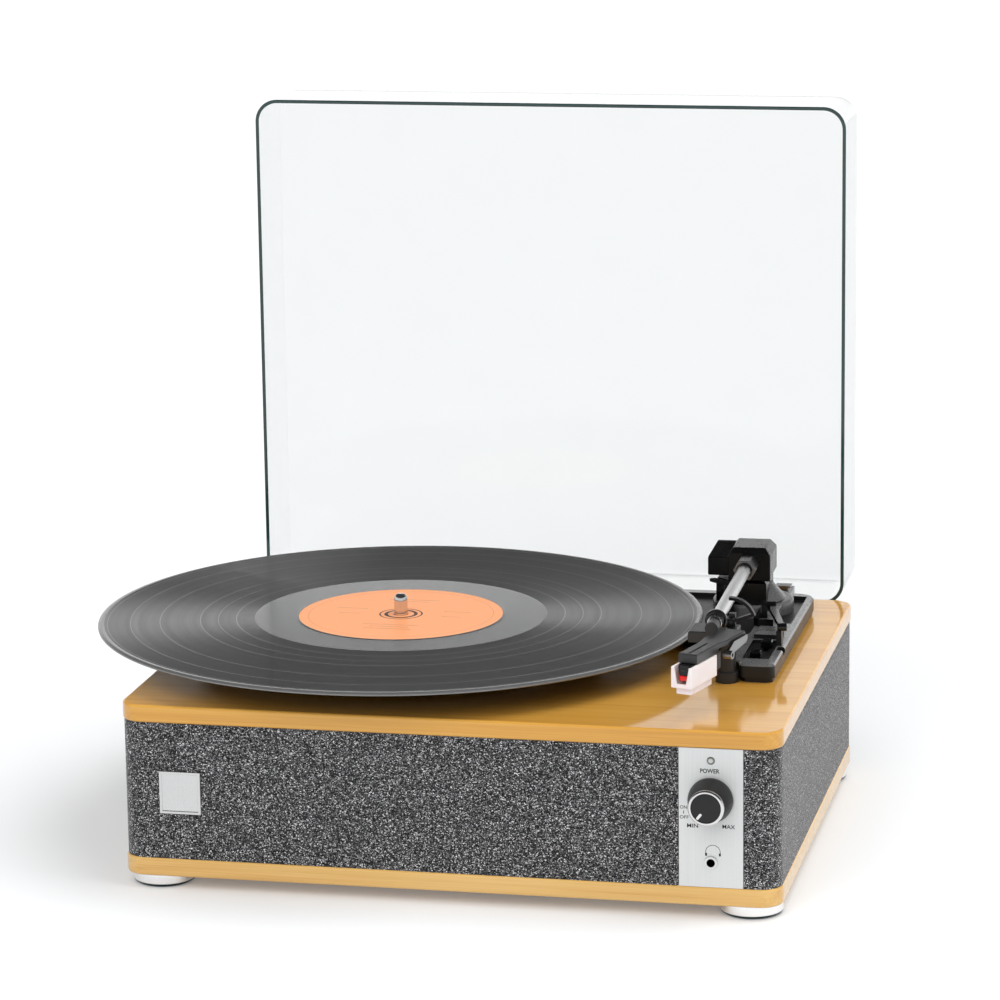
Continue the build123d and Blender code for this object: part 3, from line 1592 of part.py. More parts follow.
with BuildPart() as cue_lift:
    lift_outer_r = cue_lift_r + cue_lift_w / 2
    lift_inner_r = cue_lift_r - cue_lift_w / 2
    lift_start = front_angle - cue_lift_to
    lift_sweep = cue_lift_to - cue_lift_from
    with BuildSketch(level(deck + cue_lift_top, pivot_x, pivot_y)):
        with BuildLine():
            CenterArc((0, 0), lift_outer_r, lift_start, lift_sweep)
            CenterArc((0, 0), lift_inner_r, lift_start, lift_sweep)
            for turn in (lift_start, lift_start + lift_sweep):
                Line(
                    (lift_inner_r * cos(radians(turn)), lift_inner_r * sin(radians(turn))),
                    (lift_outer_r * cos(radians(turn)), lift_outer_r * sin(radians(turn))),
                )
        make_face()
    extrude(amount=-cue_lift_t)
    with BuildSketch(level(deck + cue_lift_top - cue_lift_t, plunger_x, plunger_y)):
        Circle(cue_plunger_r)
    extrude(amount=-(cue_lift_top - cue_lift_t - rear_bed_h + cue_plunger_in))
finish(cue_lift, "cue_lift")

# Clear lid, standing open behind the cabinet

lid_front = cabinet_d / 2 + lid_back_gap
lid_middle = lid_bottom + lid_h / 2
with BuildPart() as lid:
    with BuildSketch(facing_back(lid_front, lid_x, lid_middle)):
        RectangleRounded(lid_w, lid_h, lid_corner_r)
    extrude(amount=lid_depth)
    fillet(lid.edges().group_by(Axis.Y)[-1], lid_back_r)
    with BuildSketch(facing_back(lid_front, lid_x, lid_middle)):
        RectangleRounded(lid_w - 2 * lid_wall, lid_h - 2 * lid_wall, lid_corner_r - lid_wall)
    extrude(amount=lid_depth - lid_wall, mode=Mode.SUBTRACT)
    fillet(lid.edges().group_by(Axis.Y)[0], lid_rim_r)
    for side in (-1, 1):
        with BuildSketch(level(lid_bottom, side * hinge_x, lid_front)):
            Rectangle(hinge_notch_w, 2 * lid_notch_len)
        extrude(amount=lid_wall, mode=Mode.SUBTRACT)
finish(lid, "lid")

# Hinges: leaves on the cabinet, plates in the lid, pins and screws

with BuildPart() as hinge_cabinet_plates:
    ear_x = (hinge_mid_w + hinge_ear_w) / 2 + hinge_side_gap
    for side in (-1, 1):
        leaf_z = hinge_z - hinge_leaf_h / 2
        with BuildSketch(facing_back(cabinet_d / 2, side * hinge_x, leaf_z)):
            Rectangle(hinge_leaf_w, hinge_leaf_h)
        extrude(amount=hinge_leaf_t)
        with BuildSketch(facing_back(cabinet_d / 2, side * hinge_x, hinge_z)):
            Rectangle(hinge_mid_w + 2 * hinge_side_gap, 2 * hinge_notch_r)
        extrude(amount=hinge_leaf_t, mode=Mode.SUBTRACT)
        for ear in (-1, 1):
            ear_left = side * hinge_x + ear * ear_x - hinge_ear_w / 2
            with BuildSketch(facing_right(ear_left, hinge_y, hinge_z)):
                Circle(hinge_r)
                with Locations(((hinge_in + hinge_leaf_t) / 2, -hinge_web_t / 2)):
                    Rectangle(hinge_in + hinge_leaf_t, hinge_web_t)
            extrude(amount=hinge_ear_w)
            with BuildSketch(facing_right(ear_left, hinge_y, hinge_z)):
                Circle(hinge_pin_r + shaft_gap)
            extrude(amount=hinge_ear_w, mode=Mode.SUBTRACT)
        with BuildSketch(facing_back(cabinet_d / 2, side * hinge_x, hinge_z)):
            with Locations((0, -hinge_screw_lower)):
                Circle(hinge_screw_r + hinge_screw_gap)
            with Locations((0, -hinge_screw_upper)):
                with GridLocations(2 * hinge_screw_out, 0, 2, 1):
                    Circle(hinge_screw_r + hinge_screw_gap)
        extrude(amount=hinge_leaf_t, mode=Mode.SUBTRACT)
finish(hinge_cabinet_plates, "hinge_cabinet_plates")

with BuildPart() as hinge_screws:
    for side in (-1, 1):
        with BuildSketch(facing_back(cabinet_d / 2 + hinge_leaf_t, side * hinge_x, hinge_z)):
            with Locations((0, -hinge_screw_lower)):
                Circle(hinge_screw_head_r)
            with Locations((0, -hinge_screw_upper)):
                with GridLocations(2 * hinge_screw_out, 0, 2, 1):
                    Circle(hinge_screw_head_r)
        extrude(amount=hinge_screw_head_t)
        with BuildSketch(facing_back(cabinet_d / 2 + hinge_leaf_t, side * hinge_x, hinge_z)):
            with Locations((0, -hinge_screw_lower)):
                Circle(hinge_screw_r)
            with Locations((0, -hinge_screw_upper)):
                with GridLocations(2 * hinge_screw_out, 0, 2, 1):
                    Circle(hinge_screw_r)
        extrude(amount=-hinge_screw_len)
finish(hinge_screws, "hinge_screws")

with BuildPart() as hinge_pins:
    for side in (-1, 1):
        with BuildSketch(facing_right(side * hinge_x - hinge_leaf_w / 2, hinge_y, hinge_z)):
            Circle(hinge_pin_r)
        extrude(amount=hinge_leaf_w)
finish(hinge_pins, "hinge_pins")

with BuildPart() as hinge_lid_plates:
    lid_floor = lid_bottom + lid_wall
    plate_bottom = deck + hinge_plate_up
    plate_top = plate_bottom + hinge_plate_t
    for side in (-1, 1):
        with BuildSketch(
            facing_right(side * hinge_x - hinge_mid_w / 2, hinge_y, hinge_z)
        ):
            Circle(hinge_r)
            with Locations((0, (plate_top - hinge_z) / 2)):
                Rectangle(2 * hinge_pin_r + hinge_web_t, plate_top - hinge_z)
            Circle(hinge_pin_r + shaft_gap, mode=Mode.SUBTRACT)
        extrude(amount=hinge_mid_w)
        plate_y = (hinge_y + lid_front + hinge_plate_len) / 2
        with BuildSketch(level(plate_bottom, side * hinge_x, plate_y)):
            Rectangle(hinge_mid_w, lid_front + hinge_plate_len - hinge_y)
        extrude(amount=hinge_plate_t)
        with BuildSketch(
            level(lid_floor, side * hinge_x, lid_front + hinge_plate_len / 2 + lid_notch_len)
        ):
            Rectangle(hinge_plate_w, hinge_plate_len)
        extrude(amount=plate_top - lid_floor)
        cap_y = lid_front + lid_notch_len
        cap_bottom = deck + hinge_cap_up - hinge_cap_t
        with BuildSketch(level(plate_top, side * hinge_x, cap_y)):
            Rectangle(hinge_neck_w, hinge_neck_len)
        extrude(amount=cap_bottom - plate_top)
        with BuildSketch(level(cap_bottom, side * hinge_x, cap_y)):
            Rectangle(hinge_cap_w, hinge_cap_len)
        extrude(amount=hinge_cap_t)
finish(hinge_lid_plates, "hinge_lid_plates")
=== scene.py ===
import bmesh
import bpy
import math
import numpy as np
from mathutils import Matrix, Vector


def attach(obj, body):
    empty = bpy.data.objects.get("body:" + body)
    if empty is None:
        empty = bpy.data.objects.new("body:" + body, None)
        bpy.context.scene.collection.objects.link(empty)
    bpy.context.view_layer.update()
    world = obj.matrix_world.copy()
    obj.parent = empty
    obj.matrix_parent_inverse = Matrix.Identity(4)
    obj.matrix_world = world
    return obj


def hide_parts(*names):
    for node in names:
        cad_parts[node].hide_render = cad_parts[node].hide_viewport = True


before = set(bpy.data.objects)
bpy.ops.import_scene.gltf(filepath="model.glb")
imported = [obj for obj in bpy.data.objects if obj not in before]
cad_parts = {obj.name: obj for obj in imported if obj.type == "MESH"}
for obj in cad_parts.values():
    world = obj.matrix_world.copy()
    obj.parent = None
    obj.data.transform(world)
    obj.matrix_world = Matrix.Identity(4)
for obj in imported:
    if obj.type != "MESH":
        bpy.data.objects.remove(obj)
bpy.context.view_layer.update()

MM = 0.001
MIDDLE = np.array([21.65, -15.6, 0.0]) * MM
DECK = 90.9 * MM


def spot(x, y, z):
    """A point given in millimetres from the middle of the cabinet, in metres in the shared frame."""
    return np.array([x, y, z]) * MM + MIDDLE


# Camera, as the picture was taken

CAMERA_PLACE = (0.443949, -1.945993, 0.606402)
CAMERA_ACROSS = (0.97746971, 0.21066864, -0.01310346)
CAMERA_UP = (-0.03321051, 0.21480392, 0.97609238)
CAMERA_AHEAD = (-0.20844672, 0.95366556, -0.21696073)
CAMERA_LENS = 147.858


def place_camera():
    data = bpy.data.cameras.new("camera")
    data.sensor_width = 36.0
    data.sensor_fit = "HORIZONTAL"
    data.lens = CAMERA_LENS
    data.clip_start = 0.1
    data.clip_end = 50.0
    turn = Matrix((CAMERA_ACROSS, CAMERA_UP, -Vector(CAMERA_AHEAD))).transposed().to_4x4()
    camera = bpy.data.objects.new("camera", data)
    camera.matrix_world = Matrix.Translation(CAMERA_PLACE) @ turn
    bpy.context.scene.collection.objects.link(camera)
    bpy.context.scene.camera = camera


# Material building blocks

class Finish:
    """A material under construction: its nodes, its object coordinates and its main shader."""

    def __init__(self, name, roughness=0.5, metallic=0.0, specular=0.5, coat=0.0, coat_roughness=0.1):
        self.material = bpy.data.materials.new(name)
        self.material.use_nodes = True
        self.tree = self.material.node_tree
        self.tree.nodes.clear()
        self.output = self.add("ShaderNodeOutputMaterial")
        self.shader = self.add("ShaderNodeBsdfPrincipled")
        self.join(self.shader.outputs["BSDF"], self.output.inputs["Surface"])
        self.set("Roughness", roughness)
        self.set("Metallic", metallic)
        self.set("Specular IOR Level", specular)
        self.set("Coat Weight", coat)
        self.set("Coat Roughness", coat_roughness)
        self.place = self.add("ShaderNodeTexCoord").outputs["Object"]

    def add(self, kind, **facts):
        node = self.tree.nodes.new(kind)
        for name, value in facts.items():
            setattr(node, name, value)
        return node

    def join(self, source, target):
        self.tree.links.new(source, target)

    def set(self, socket, value):
        self.shader.inputs[socket].default_value = value

    def feed(self, socket, source):
        self.join(source, self.shader.inputs[socket])

    def mapped(self, scale=(1, 1, 1), turn=(0, 0, 0), move=(0, 0, 0), source=None):
        node = self.add("ShaderNodeMapping")
        node.inputs["Scale"].default_value = scale
        node.inputs["Rotation"].default_value = turn
        node.inputs["Location"].default_value = move
        self.join(source or self.place, node.inputs["Vector"])
        return node.outputs["Vector"]

    def noise(self, scale, detail=3.0, rough=0.5, source=None, distortion=0.0):
        node = self.add("ShaderNodeTexNoise")
        node.inputs["Scale"].default_value = scale
        node.inputs["Detail"].default_value = detail
        node.inputs["Roughness"].default_value = rough
        node.inputs["Distortion"].default_value = distortion
        self.join(source or self.place, node.inputs["Vector"])
        return node.outputs["Fac"]

    def cells(self, scale, source=None, randomness=1.0, feature="F1"):
        node = self.add("ShaderNodeTexVoronoi", feature=feature)
        node.inputs["Scale"].default_value = scale
        node.inputs["Randomness"].default_value = randomness
        self.join(source or self.place, node.inputs["Vector"])
        return node

    def ramp(self, factor, stops, mode="LINEAR"):
        node = self.add("ShaderNodeValToRGB")
        node.color_ramp.interpolation = mode
        elements = node.color_ramp.elements
        while len(elements) < len(stops):
            elements.new(0.5)
        for element, (at, colour) in zip(elements, stops):
            element.position = at
            element.color = tuple(colour) + (1.0,) if len(colour) == 3 else colour
        self.join(factor, node.inputs["Fac"])
        return node.outputs["Color"]

    def math(self, way, one, two=0.0, three=0.0, clamp=False):
        node = self.add("ShaderNodeMath", operation=way, use_clamp=clamp)
        for socket, value in zip(node.inputs, (one, two, three)):
            if isinstance(value, (int, float)):
                socket.default_value = value
            else:
                self.join(value, socket)
        return node.outputs[0]

    def blend(self, factor, one, two, mode="MIX"):
        node = self.add("ShaderNodeMix", data_type="RGBA", blend_type=mode, clamp_factor=True)
        for socket, value in ((node.inputs[0], factor), (node.inputs[6], one), (node.inputs[7], two)):
            if isinstance(value, (int, float)):
                socket.default_value = value
            elif isinstance(value, tuple):
                socket.default_value = value + (1.0,) if len(value) == 3 else value
            else:
                self.join(value, socket)
        return node.outputs[2]

    def off(self, value, middle):
        """How far a value lies from a middle value, either way."""
        return self.math("ABSOLUTE", self.math("SUBTRACT", value, middle))

    def far(self, x, z):
        """The distance from the origin in the upright plane."""
        return self.math("SQRT", self.math("ADD", self.math("MULTIPLY", x, x), self.math("MULTIPLY", z, z)))

    def lerp(self, share, one, two):
        """The first value where the share is 0, the second where it is 1."""
        return self.math("MULTIPLY_ADD", share, self.math("SUBTRACT", two, one), one)

    def range(self, value, low, high, to_low=0.0, to_high=1.0):
        node = self.add("ShaderNodeMapRange")
        self.join(value, node.inputs[0])
        for socket, number in zip(list(node.inputs)[1:5], (low, high, to_low, to_high)):
            socket.default_value = number
        return node.outputs[0]

    def split(self, source=None):
        node = self.add("ShaderNodeSeparateXYZ")
        self.join(source or self.place, node.inputs[0])
        return node.outputs

    def combine(self, *parts):
        node = self.add("ShaderNodeCombineXYZ")
        for socket, value in zip(node.inputs, parts):
            if isinstance(value, (int, float)):
                socket.default_value = value
            else:
                self.join(value, socket)
        return node.outputs[0]

    def relief(self, height, strength, distance, onto=None):
        node = self.add("ShaderNodeBump")
        node.inputs["Strength"].default_value = strength
        node.inputs["Distance"].default_value = distance
        self.join(height, node.inputs["Height"])
        if onto is not None:
            self.join(onto, node.inputs["Normal"])
        return node.outputs["Normal"]


def grey(value, tint=0.0):
    """A neutral colour from a display value of 0 to 255, slightly bluish with tint."""
    linear = ((value / 255 + 0.055) / 1.055) ** 2.4 if value > 10 else value / 255 / 12.92
    return (linear, linear, linear * (1 + tint))


def display(red, green, blue):
    """A colour from display values of 0 to 255."""
    return tuple(grey(value)[0] for value in (red, green, blue))


def moulded(name, low, high, roughness, grain=900.0, depth=0.00003, specular=0.5, coat=0.0):
    """Moulded plastic: two close shades in soft clouds, a fine cast grain and slightly uneven gloss."""
    skin = Finish(name, roughness, specular=specular, coat=coat)
    clouds = skin.noise(60.0, 4.0, 0.6)
    skin.feed("Base Color", skin.blend(clouds, low, high))
    fine = skin.noise(grain, 2.0, 0.5)
    uneven = skin.math("ADD", clouds, fine)
    skin.feed("Roughness", skin.range(uneven, 0.6, 1.4, roughness - 0.06, roughness + 0.06))
    skin.feed("Normal", skin.relief(fine, 0.25, depth))
    return skin.material


def metal(name, low, high, roughness, brush=(1, 1, 1), scale=600.0, depth=0.00001, anisotropy=0.0):
    """Metal: two close shades and fine brush marks that are drawn out along one direction."""
    skin = Finish(name, roughness, metallic=1.0)
    marks = skin.noise(scale, 3.0, 0.6, skin.mapped(scale=brush))
    clouds = skin.noise(35.0, 3.0, 0.5)
    mixed = skin.math("MULTIPLY", skin.math("ADD", marks, clouds), 0.5)
    skin.feed("Base Color", skin.blend(mixed, low, high))
    skin.feed("Roughness", skin.range(marks, 0.3, 0.7, roughness * 0.75, roughness * 1.25))
    skin.feed("Normal", skin.relief(marks, 0.2, depth))
    skin.set("Anisotropic", anisotropy)
    return skin.material


def bamboo(name, shades, seam_shade):
    """Bamboo board: strips about 20 mm wide run left to right, each of its own shade, with fine fibres,
    under a polished lacquer. The shades go from the darkest fibre to the palest."""
    wood = Finish(name, 0.38, specular=0.25, coat=0.9, coat_roughness=0.08)
    x, y, z = wood.split()
    across = wood.math("ADD", y, z)
    place = wood.math("DIVIDE", across, STRIP_W)
    strip = wood.math("FLOOR", place)
    strip_shade = wood.noise(1.0, 0.0, 0.5, wood.combine(wood.math("MULTIPLY", strip, 7.31), 0.0, 0.0))
    run = wood.math("ADD", wood.math("MULTIPLY", x, 5.0), wood.math("MULTIPLY", strip, 3.7))
    fibres = wood.noise(1.0, 4.0, 0.6, wood.combine(
        wood.math("MULTIPLY", x, 16.0), wood.math("MULTIPLY", y, 1500.0), wood.math("MULTIPLY", z, 1500.0)))
    bands = wood.noise(1.0, 3.0, 0.55, wood.combine(
        run, wood.math("MULTIPLY", y, 200.0), wood.math("MULTIPLY", z, 260.0)))
    mixed = wood.math("ADD", wood.math("MULTIPLY", fibres, 0.35), wood.math("MULTIPLY", bands, 0.45))
    mixed = wood.math("ADD", mixed, wood.math("MULTIPLY", strip_shade, 0.2))
    colour = wood.ramp(mixed, tuple(zip((0.32, 0.44, 0.54, 0.70), shades)))
    seam = wood.off(wood.math("FRACT", place), 0.5)
    colour = wood.blend(wood.range(seam, 0.49, 0.5, 0.0, 0.15), colour, seam_shade)
    wood.feed("Base Color", colour)
    wood.feed("Roughness", wood.range(fibres, 0.3, 0.7, 0.32, 0.46))
    wood.feed("Normal", wood.relief(fibres, 0.15, 0.00004))
    return wood.material


def board_core(name):
    """Fibreboard: brown, with short pale and dark fibres pressed flat."""
    core = Finish(name, 0.85, specular=0.2)
    fibre = core.noise(420.0, 4.0, 0.7, distortion=1.2)
    core.feed("Base Color", core.ramp(fibre, (
        (0.3, display(110, 84, 56)), (0.5, display(150, 118, 82)), (0.7, display(186, 152, 112)))))
    core.feed("Normal", core.relief(fibre, 0.4, 0.0002))
    return core.material


def heather_cloth(name):
    """Grille cloth of short mixed yarns: flecks half a millimetre wide and up to a millimetre long lean
    both ways, black, dark grey, mid grey and near white, with painted shade in the hollows between
    them and a little fuzz that catches light at a flat angle."""
    cloth = Finish(name, 0.85, specular=0.2)
    shades = []
    for turn, stretch, size in (((0.7, 0.8, 0.0), 0.6, 2300.0), ((-0.8, -0.7, 0.0), 0.65, 2500.0),
                                ((0.1, 0.2, 0.8), 0.85, 2100.0)):
        fleck = cloth.cells(size, cloth.mapped(scale=(stretch, stretch, 1.0), turn=turn))
        shade = cloth.add("ShaderNodeSeparateColor")
        cloth.join(fleck.outputs["Color"], shade.inputs[0])
        shades.append((shade.outputs[0], fleck.outputs["Distance"]))
    first = cloth.range(cloth.noise(1500.0, 1.0, 0.5), 0.47, 0.53)
    second = cloth.range(cloth.noise(1100.0, 1.0, 0.5, cloth.mapped(move=(0.3, 0.7, 0.0))), 0.52, 0.58)
    value, height = shades[0]
    for pick, (shade, dome) in ((first, shades[1]), (second, shades[2])):
        value = cloth.lerp(pick, value, shade)
        height = cloth.lerp(pick, height, dome)
    colour = cloth.ramp(value, (
        (0.00, grey(8)), (0.26, grey(24)), (0.48, grey(54, 0.05)), (0.70, grey(96, 0.05)),
        (0.85, grey(154, 0.04)), (0.97, grey(252)),
    ))
    # Darker where the flecks' relief is low: painted shade in the hollows between flecks.
    painted_hollow_shade = cloth.range(height, 0.3, 0.85, 1.0, 0.55)
    colour = cloth.blend(1.0, colour, cloth.combine(painted_hollow_shade, painted_hollow_shade, painted_hollow_shade), "MULTIPLY")
    cloth.feed("Base Color", colour)
    cloth.feed("Normal", cloth.relief(height, 0.6, -0.0003))
    cloth.set("Sheen Weight", 0.4)
    cloth.set("Sheen Roughness", 0.4)
    return cloth.material


def vinyl(name):
    """Record vinyl: black, with a fine cut that draws highlights out across the grooves, under a
    polished skin. The shade follows the radius alone: bands of denser music, thin gaps between
    tracks with a painted pale sheen, a smooth dead wax and a smooth rim with a painted bright highlight."""
    disc = Finish(name, 0.42, specular=0.9, coat=0.03, coat_roughness=0.03)
    disc.set("IOR", 1.75)
    uv = disc.add("ShaderNodeUVMap", uv_map="turn_and_radius")
    u, radius, none = disc.split(uv.outputs["UV"])
    grooves = disc.noise(1.0, 4.0, 0.7, disc.combine(disc.math("MULTIPLY", radius, 2600.0), 0.0, 0.0))
    bands = disc.noise(1.0, 2.0, 0.5, disc.combine(disc.math("MULTIPLY", radius, 260.0), 3.0, 0.0))
    cut_shade = disc.math("ADD", disc.math("MULTIPLY", grooves, 0.5), disc.math("MULTIPLY", bands, 0.5))
    base = disc.blend(cut_shade, grey(32), grey(74))
    gaps = None
    for at in TRACK_GAPS:
        line = disc.range(disc.off(radius, at * MM), 0.00008, 0.00022, 1.0, 0.0)
        gaps = line if gaps is None else disc.math("MAXIMUM", gaps, line)
    wax = disc.range(radius, (DEAD_WAX_R + 0.25) * MM, (DEAD_WAX_R - 0.25) * MM)
    lead_rim_painted_highlight = disc.range(radius, 0.1474, 0.148)
    # Pale grey at the track gaps and at the lead-in rim is painted light on black vinyl: a sheen at the gaps
    # and a highlight along the rim.
    base = disc.blend(disc.math("MULTIPLY", gaps, 0.5), base, grey(140))
    base = disc.blend(wax, base, grey(44))
    base = disc.blend(lead_rim_painted_highlight, base, grey(92))
    disc.feed("Base Color", base)
    smooth = disc.math("MAXIMUM", disc.math("MAXIMUM", wax, lead_rim_painted_highlight), disc.math("MULTIPLY", gaps, 0.6))
    cut = disc.range(disc.math("ADD", grooves, bands), 0.6, 1.4, 0.42, 0.6)
    disc.feed("Roughness", disc.lerp(smooth, cut, 0.25))
    disc.feed("Anisotropic", disc.range(smooth, 0.0, 1.0, 1.0, 0.0))
    disc.set("Anisotropic Rotation", 0.25)
    tangent = disc.add("ShaderNodeTangent", direction_type="UV_MAP", uv_map="turn_and_radius")
    disc.feed("Tangent", tangent.outputs["Tangent"])
    fade = disc.math("MULTIPLY", grooves, disc.math("SUBTRACT", 1.0, smooth))
    disc.feed("Normal", disc.relief(fade, 0.12, 0.00006))
    return disc.material


def printed_label(name):
    """Record label: orange paper with a faint cloudy print, one thin ring near its edge, a darker ring
    round the hole and a few short plain bars where a label has its lines."""
    paper = Finish(name, 0.45, specular=0.35, coat=0.08, coat_roughness=0.3)
    uv = paper.add("ShaderNodeUVMap", uv_map="turn_and_radius")
    u, radius, none = paper.split(uv.outputs["UV"])
    clouds = paper.noise(180.0, 4.0, 0.6)
    base = paper.blend(clouds, display(249, 161, 106), display(255, 173, 120))
    ring = paper.range(paper.off(radius, 0.0462), 0.0, 0.0003, 0.4, 0.0)
    hub = paper.range(paper.off(radius, 0.0105), 0.0003, 0.0005, 1.0, 0.0)
    hub = paper.math("MAXIMUM", hub, paper.range(paper.off(radius, 0.0075), 0.0008, 0.0010, 1.0, 0.0))
    x, y, z = paper.split(paper.mapped(move=(-RECORD_CENTRE[0], -RECORD_CENTRE[1], 0.0)))
    bars = None
    for bar_x, bar_y, half_w, half_h in LABEL_BARS:
        inside_x = paper.range(paper.off(x, bar_x * MM), (half_w - 0.1) * MM, half_w * MM, 1.0, 0.0)
        inside_y = paper.range(paper.off(y, bar_y * MM), (half_h - 0.1) * MM, half_h * MM, 1.0, 0.0)
        bar = paper.math("MULTIPLY", inside_x, inside_y)
        bars = bar if bars is None else paper.math("MAXIMUM", bars, bar)
    print_mask = paper.math("MAXIMUM", paper.math("MAXIMUM", ring, hub), paper.math("MULTIPLY", bars, 0.55))
    paper.feed("Base Color", paper.blend(print_mask, base, display(70, 46, 34)))
    paper.feed("Roughness", paper.range(clouds, 0.3, 0.7, 0.4, 0.5))
    paper.feed("Normal", paper.relief(paper.noise(1500.0, 2.0, 0.5), 0.15, 0.00003))
    return paper.material


def clear_acrylic(name):
    """Clear acrylic: fully clear with the faint green of a thick sheet, and a trace of dust."""
    clear = Finish(name, 0.0)
    dust = clear.noise(45.0, 4.0, 0.6)
    clear.feed("Roughness", clear.range(dust, 0.3, 0.8, 0.0, 0.012))
    clear.set("Transmission Weight", 1.0)
    clear.set("IOR", 1.2)
    clear.feed("Base Color", clear.blend(dust, (0.81, 0.818, 0.816), (0.835, 0.842, 0.84)))
    return clear.material


def painted_dark_rim(name):
    """The polished rim of the lid, where the sheet is seen edge on: dark green blue, glossy, an opaque colour
    painted in place of the dark look that light inside the clear sheet gives its edge.
    """
    rim = Finish(name, 0.12, specular=0.5, coat=0.4, coat_roughness=0.05)
    rim.feed("Base Color", rim.blend(rim.noise(25.0, 3.0, 0.5), display(10, 34, 34), display(28, 66, 62)))
    return rim.material


def milky(name):
    """Translucent white plastic with a pale pink cast."""
    milk = Finish(name, 0.28, specular=0.5, coat=0.3, coat_roughness=0.15)
    clouds = milk.noise(110.0, 3.0, 0.5)
    milk.feed("Base Color", milk.blend(clouds, display(244, 218, 217), display(252, 242, 240)))
    milk.set("Subsurface Weight", 0.35)
    milk.set("Subsurface Radius", (0.004, 0.002, 0.002))
    milk.set("Subsurface Scale", 1.0)
    milk.feed("Normal", milk.relief(clouds, 0.1, 0.0001))
    return milk.material


def plated_cup(name):
    """Plated foot: bright and smooth with upright polish marks, and a dark blue green ring at its lower
    edge that is painted shade where the cup meets the floor."""
    cup = Finish(name, 0.2, metallic=1.0)
    marks = cup.noise(200.0, 3.0, 0.6, cup.mapped(scale=(1.0, 1.0, 30.0)))
    x, y, z = cup.split()
    # Dark blue green band near the floor: painted contact shade on the bright plating.
    ring = cup.range(z, 0.0014, 0.0018, 1.0, 0.0)
    bright = cup.blend(marks, grey(236), grey(250))
    cup.feed("Base Color", cup.blend(ring, bright, display(12, 40, 40)))
    cup.feed("Roughness", cup.range(marks, 0.3, 0.7, 0.16, 0.26))
    return cup.material


def aluminium_front(name):
    """Fine sand-blasted and anodised aluminium with a faint upright brush."""
    sheet = Finish(name, 0.42, metallic=0.35, specular=0.4)
    marks = sheet.noise(1.0, 3.0, 0.6, sheet.mapped(scale=(1900.0, 1900.0, 26.0)))
    sand = sheet.noise(2600.0, 2.0, 0.5)
    mixed = sheet.math("ADD", sheet.math("MULTIPLY", marks, 0.6), sheet.math("MULTIPLY", sand, 0.4))
    sheet.feed("Base Color", sheet.blend(mixed, display(206, 208, 208), display(232, 233, 233)))
    sheet.feed("Roughness", sheet.range(marks, 0.3, 0.7, 0.36, 0.5))
    sheet.feed("Normal", sheet.relief(mixed, 0.15, 0.00002))
    return sheet.material


def printed_board(name):
    """Circuit board: green lacquer with paler tracks in straight runs."""
    board = Finish(name, 0.35, specular=0.5, coat=0.3)
    tracks = board.cells(160.0, feature="F1")
    tracks.distance = "CHEBYCHEV"
    mask = board.range(tracks.outputs["Distance"], 0.30, 0.34)
    board.feed("Base Color", board.blend(mask, display(28, 92, 52), display(62, 132, 78)))
    board.feed("Normal", board.relief(mask, 0.4, 0.0001))
    return board.material


def lamp_lens(name):
    """Small clear lamp lens, with a pale middle that is a painted glint, grey round it where the dark inside
    shows through.
    """
    lens = Finish(name, 0.1, specular=0.6, coat=0.6, coat_roughness=0.05)
    x, y, z = lens.split(lens.mapped(move=tuple(-spot(PANEL_X, 0, LAMP_Z))))
    away = lens.far(x, z)
    rim = lens.range(away, 0.0008, 0.0015)
    # The pale colour in the middle of the lens is a painted glint.
    lens.feed("Base Color", lens.blend(rim, display(196, 198, 194), display(92, 94, 88)))
    return lens.material


def socket_finish(name):
    """Headphone socket: a bright nickel bezel, and black inside its hole."""
    sleeve = Finish(name, 0.3, metallic=1.0)
    x, y, z = sleeve.split(sleeve.mapped(move=tuple(-spot(PANEL_X, 0, PHONES_Z))))
    away = sleeve.far(x, z)
    rim = sleeve.range(away, 0.0019, 0.0021)
    marks = sleeve.noise(800.0, 2.0, 0.5)
    nickel = sleeve.blend(marks, grey(206), grey(228))
    sleeve.feed("Base Color", sleeve.blend(rim, display(16, 12, 10), nickel))
    sleeve.feed("Roughness", sleeve.range(marks, 0.3, 0.7, 0.26, 0.36))
    return sleeve.material


def ink(name):
    """Dark grey printing ink, slightly uneven."""
    print_ink = Finish(name, 0.5, specular=0.3)
    print_ink.feed("Base Color", print_ink.blend(print_ink.noise(900.0, 2.0, 0.5), grey(30), grey(48)))
    return print_ink.material


# Shapes worked out on grids

def put(name, points, faces, body, material, nodes=(), uv=None, flat=False, crease=35.0):
    """A mesh piece from arrays: it rides on a body, stands for CAD nodes and takes its materials."""
    mesh = bpy.data.meshes.new(name)
    mesh.from_pydata(points.reshape(-1, 3).tolist(), [], faces.tolist())
    if uv is not None:
        layer = mesh.uv_layers.new(name="turn_and_radius")
        layer.data.foreach_set("uv", uv.reshape(-1).astype(np.float32))
    mesh.update()
    piece = bpy.data.objects.new(name, mesh)
    bpy.context.scene.collection.objects.link(piece)
    return dress(piece, body, material, nodes, flat, crease)


def dress(piece, body, material, nodes=(), flat=False, crease=35.0):
    """Give a piece its material, its body and the CAD nodes that it stands for."""
    mesh = piece.data
    materials = material if isinstance(material, (list, tuple)) else [material]
    for one in materials:
        mesh.materials.append(one)
    if not flat:
        mesh.shade_smooth()
        mesh.set_sharp_from_angle(angle=math.radians(crease))
    if nodes:
        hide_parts(*nodes)
    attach(piece, body)
    return piece


def grid_faces(rows, columns, wrap_rows=False, wrap_columns=False):
    """Quads of a grid: each joins a point, the next along the row, the one after in the next row, and
    back."""
    i = np.arange(rows if wrap_rows else rows - 1)
    j = np.arange(columns if wrap_columns else columns - 1)
    i, j = np.meshgrid(i, j, indexing="ij")
    i2, j2 = (i + 1) % rows, (j + 1) % columns
    corners = [i * columns + j, i * columns + j2, i2 * columns + j2, i2 * columns + j]
    return np.stack(corners, -1).reshape(-1, 4)


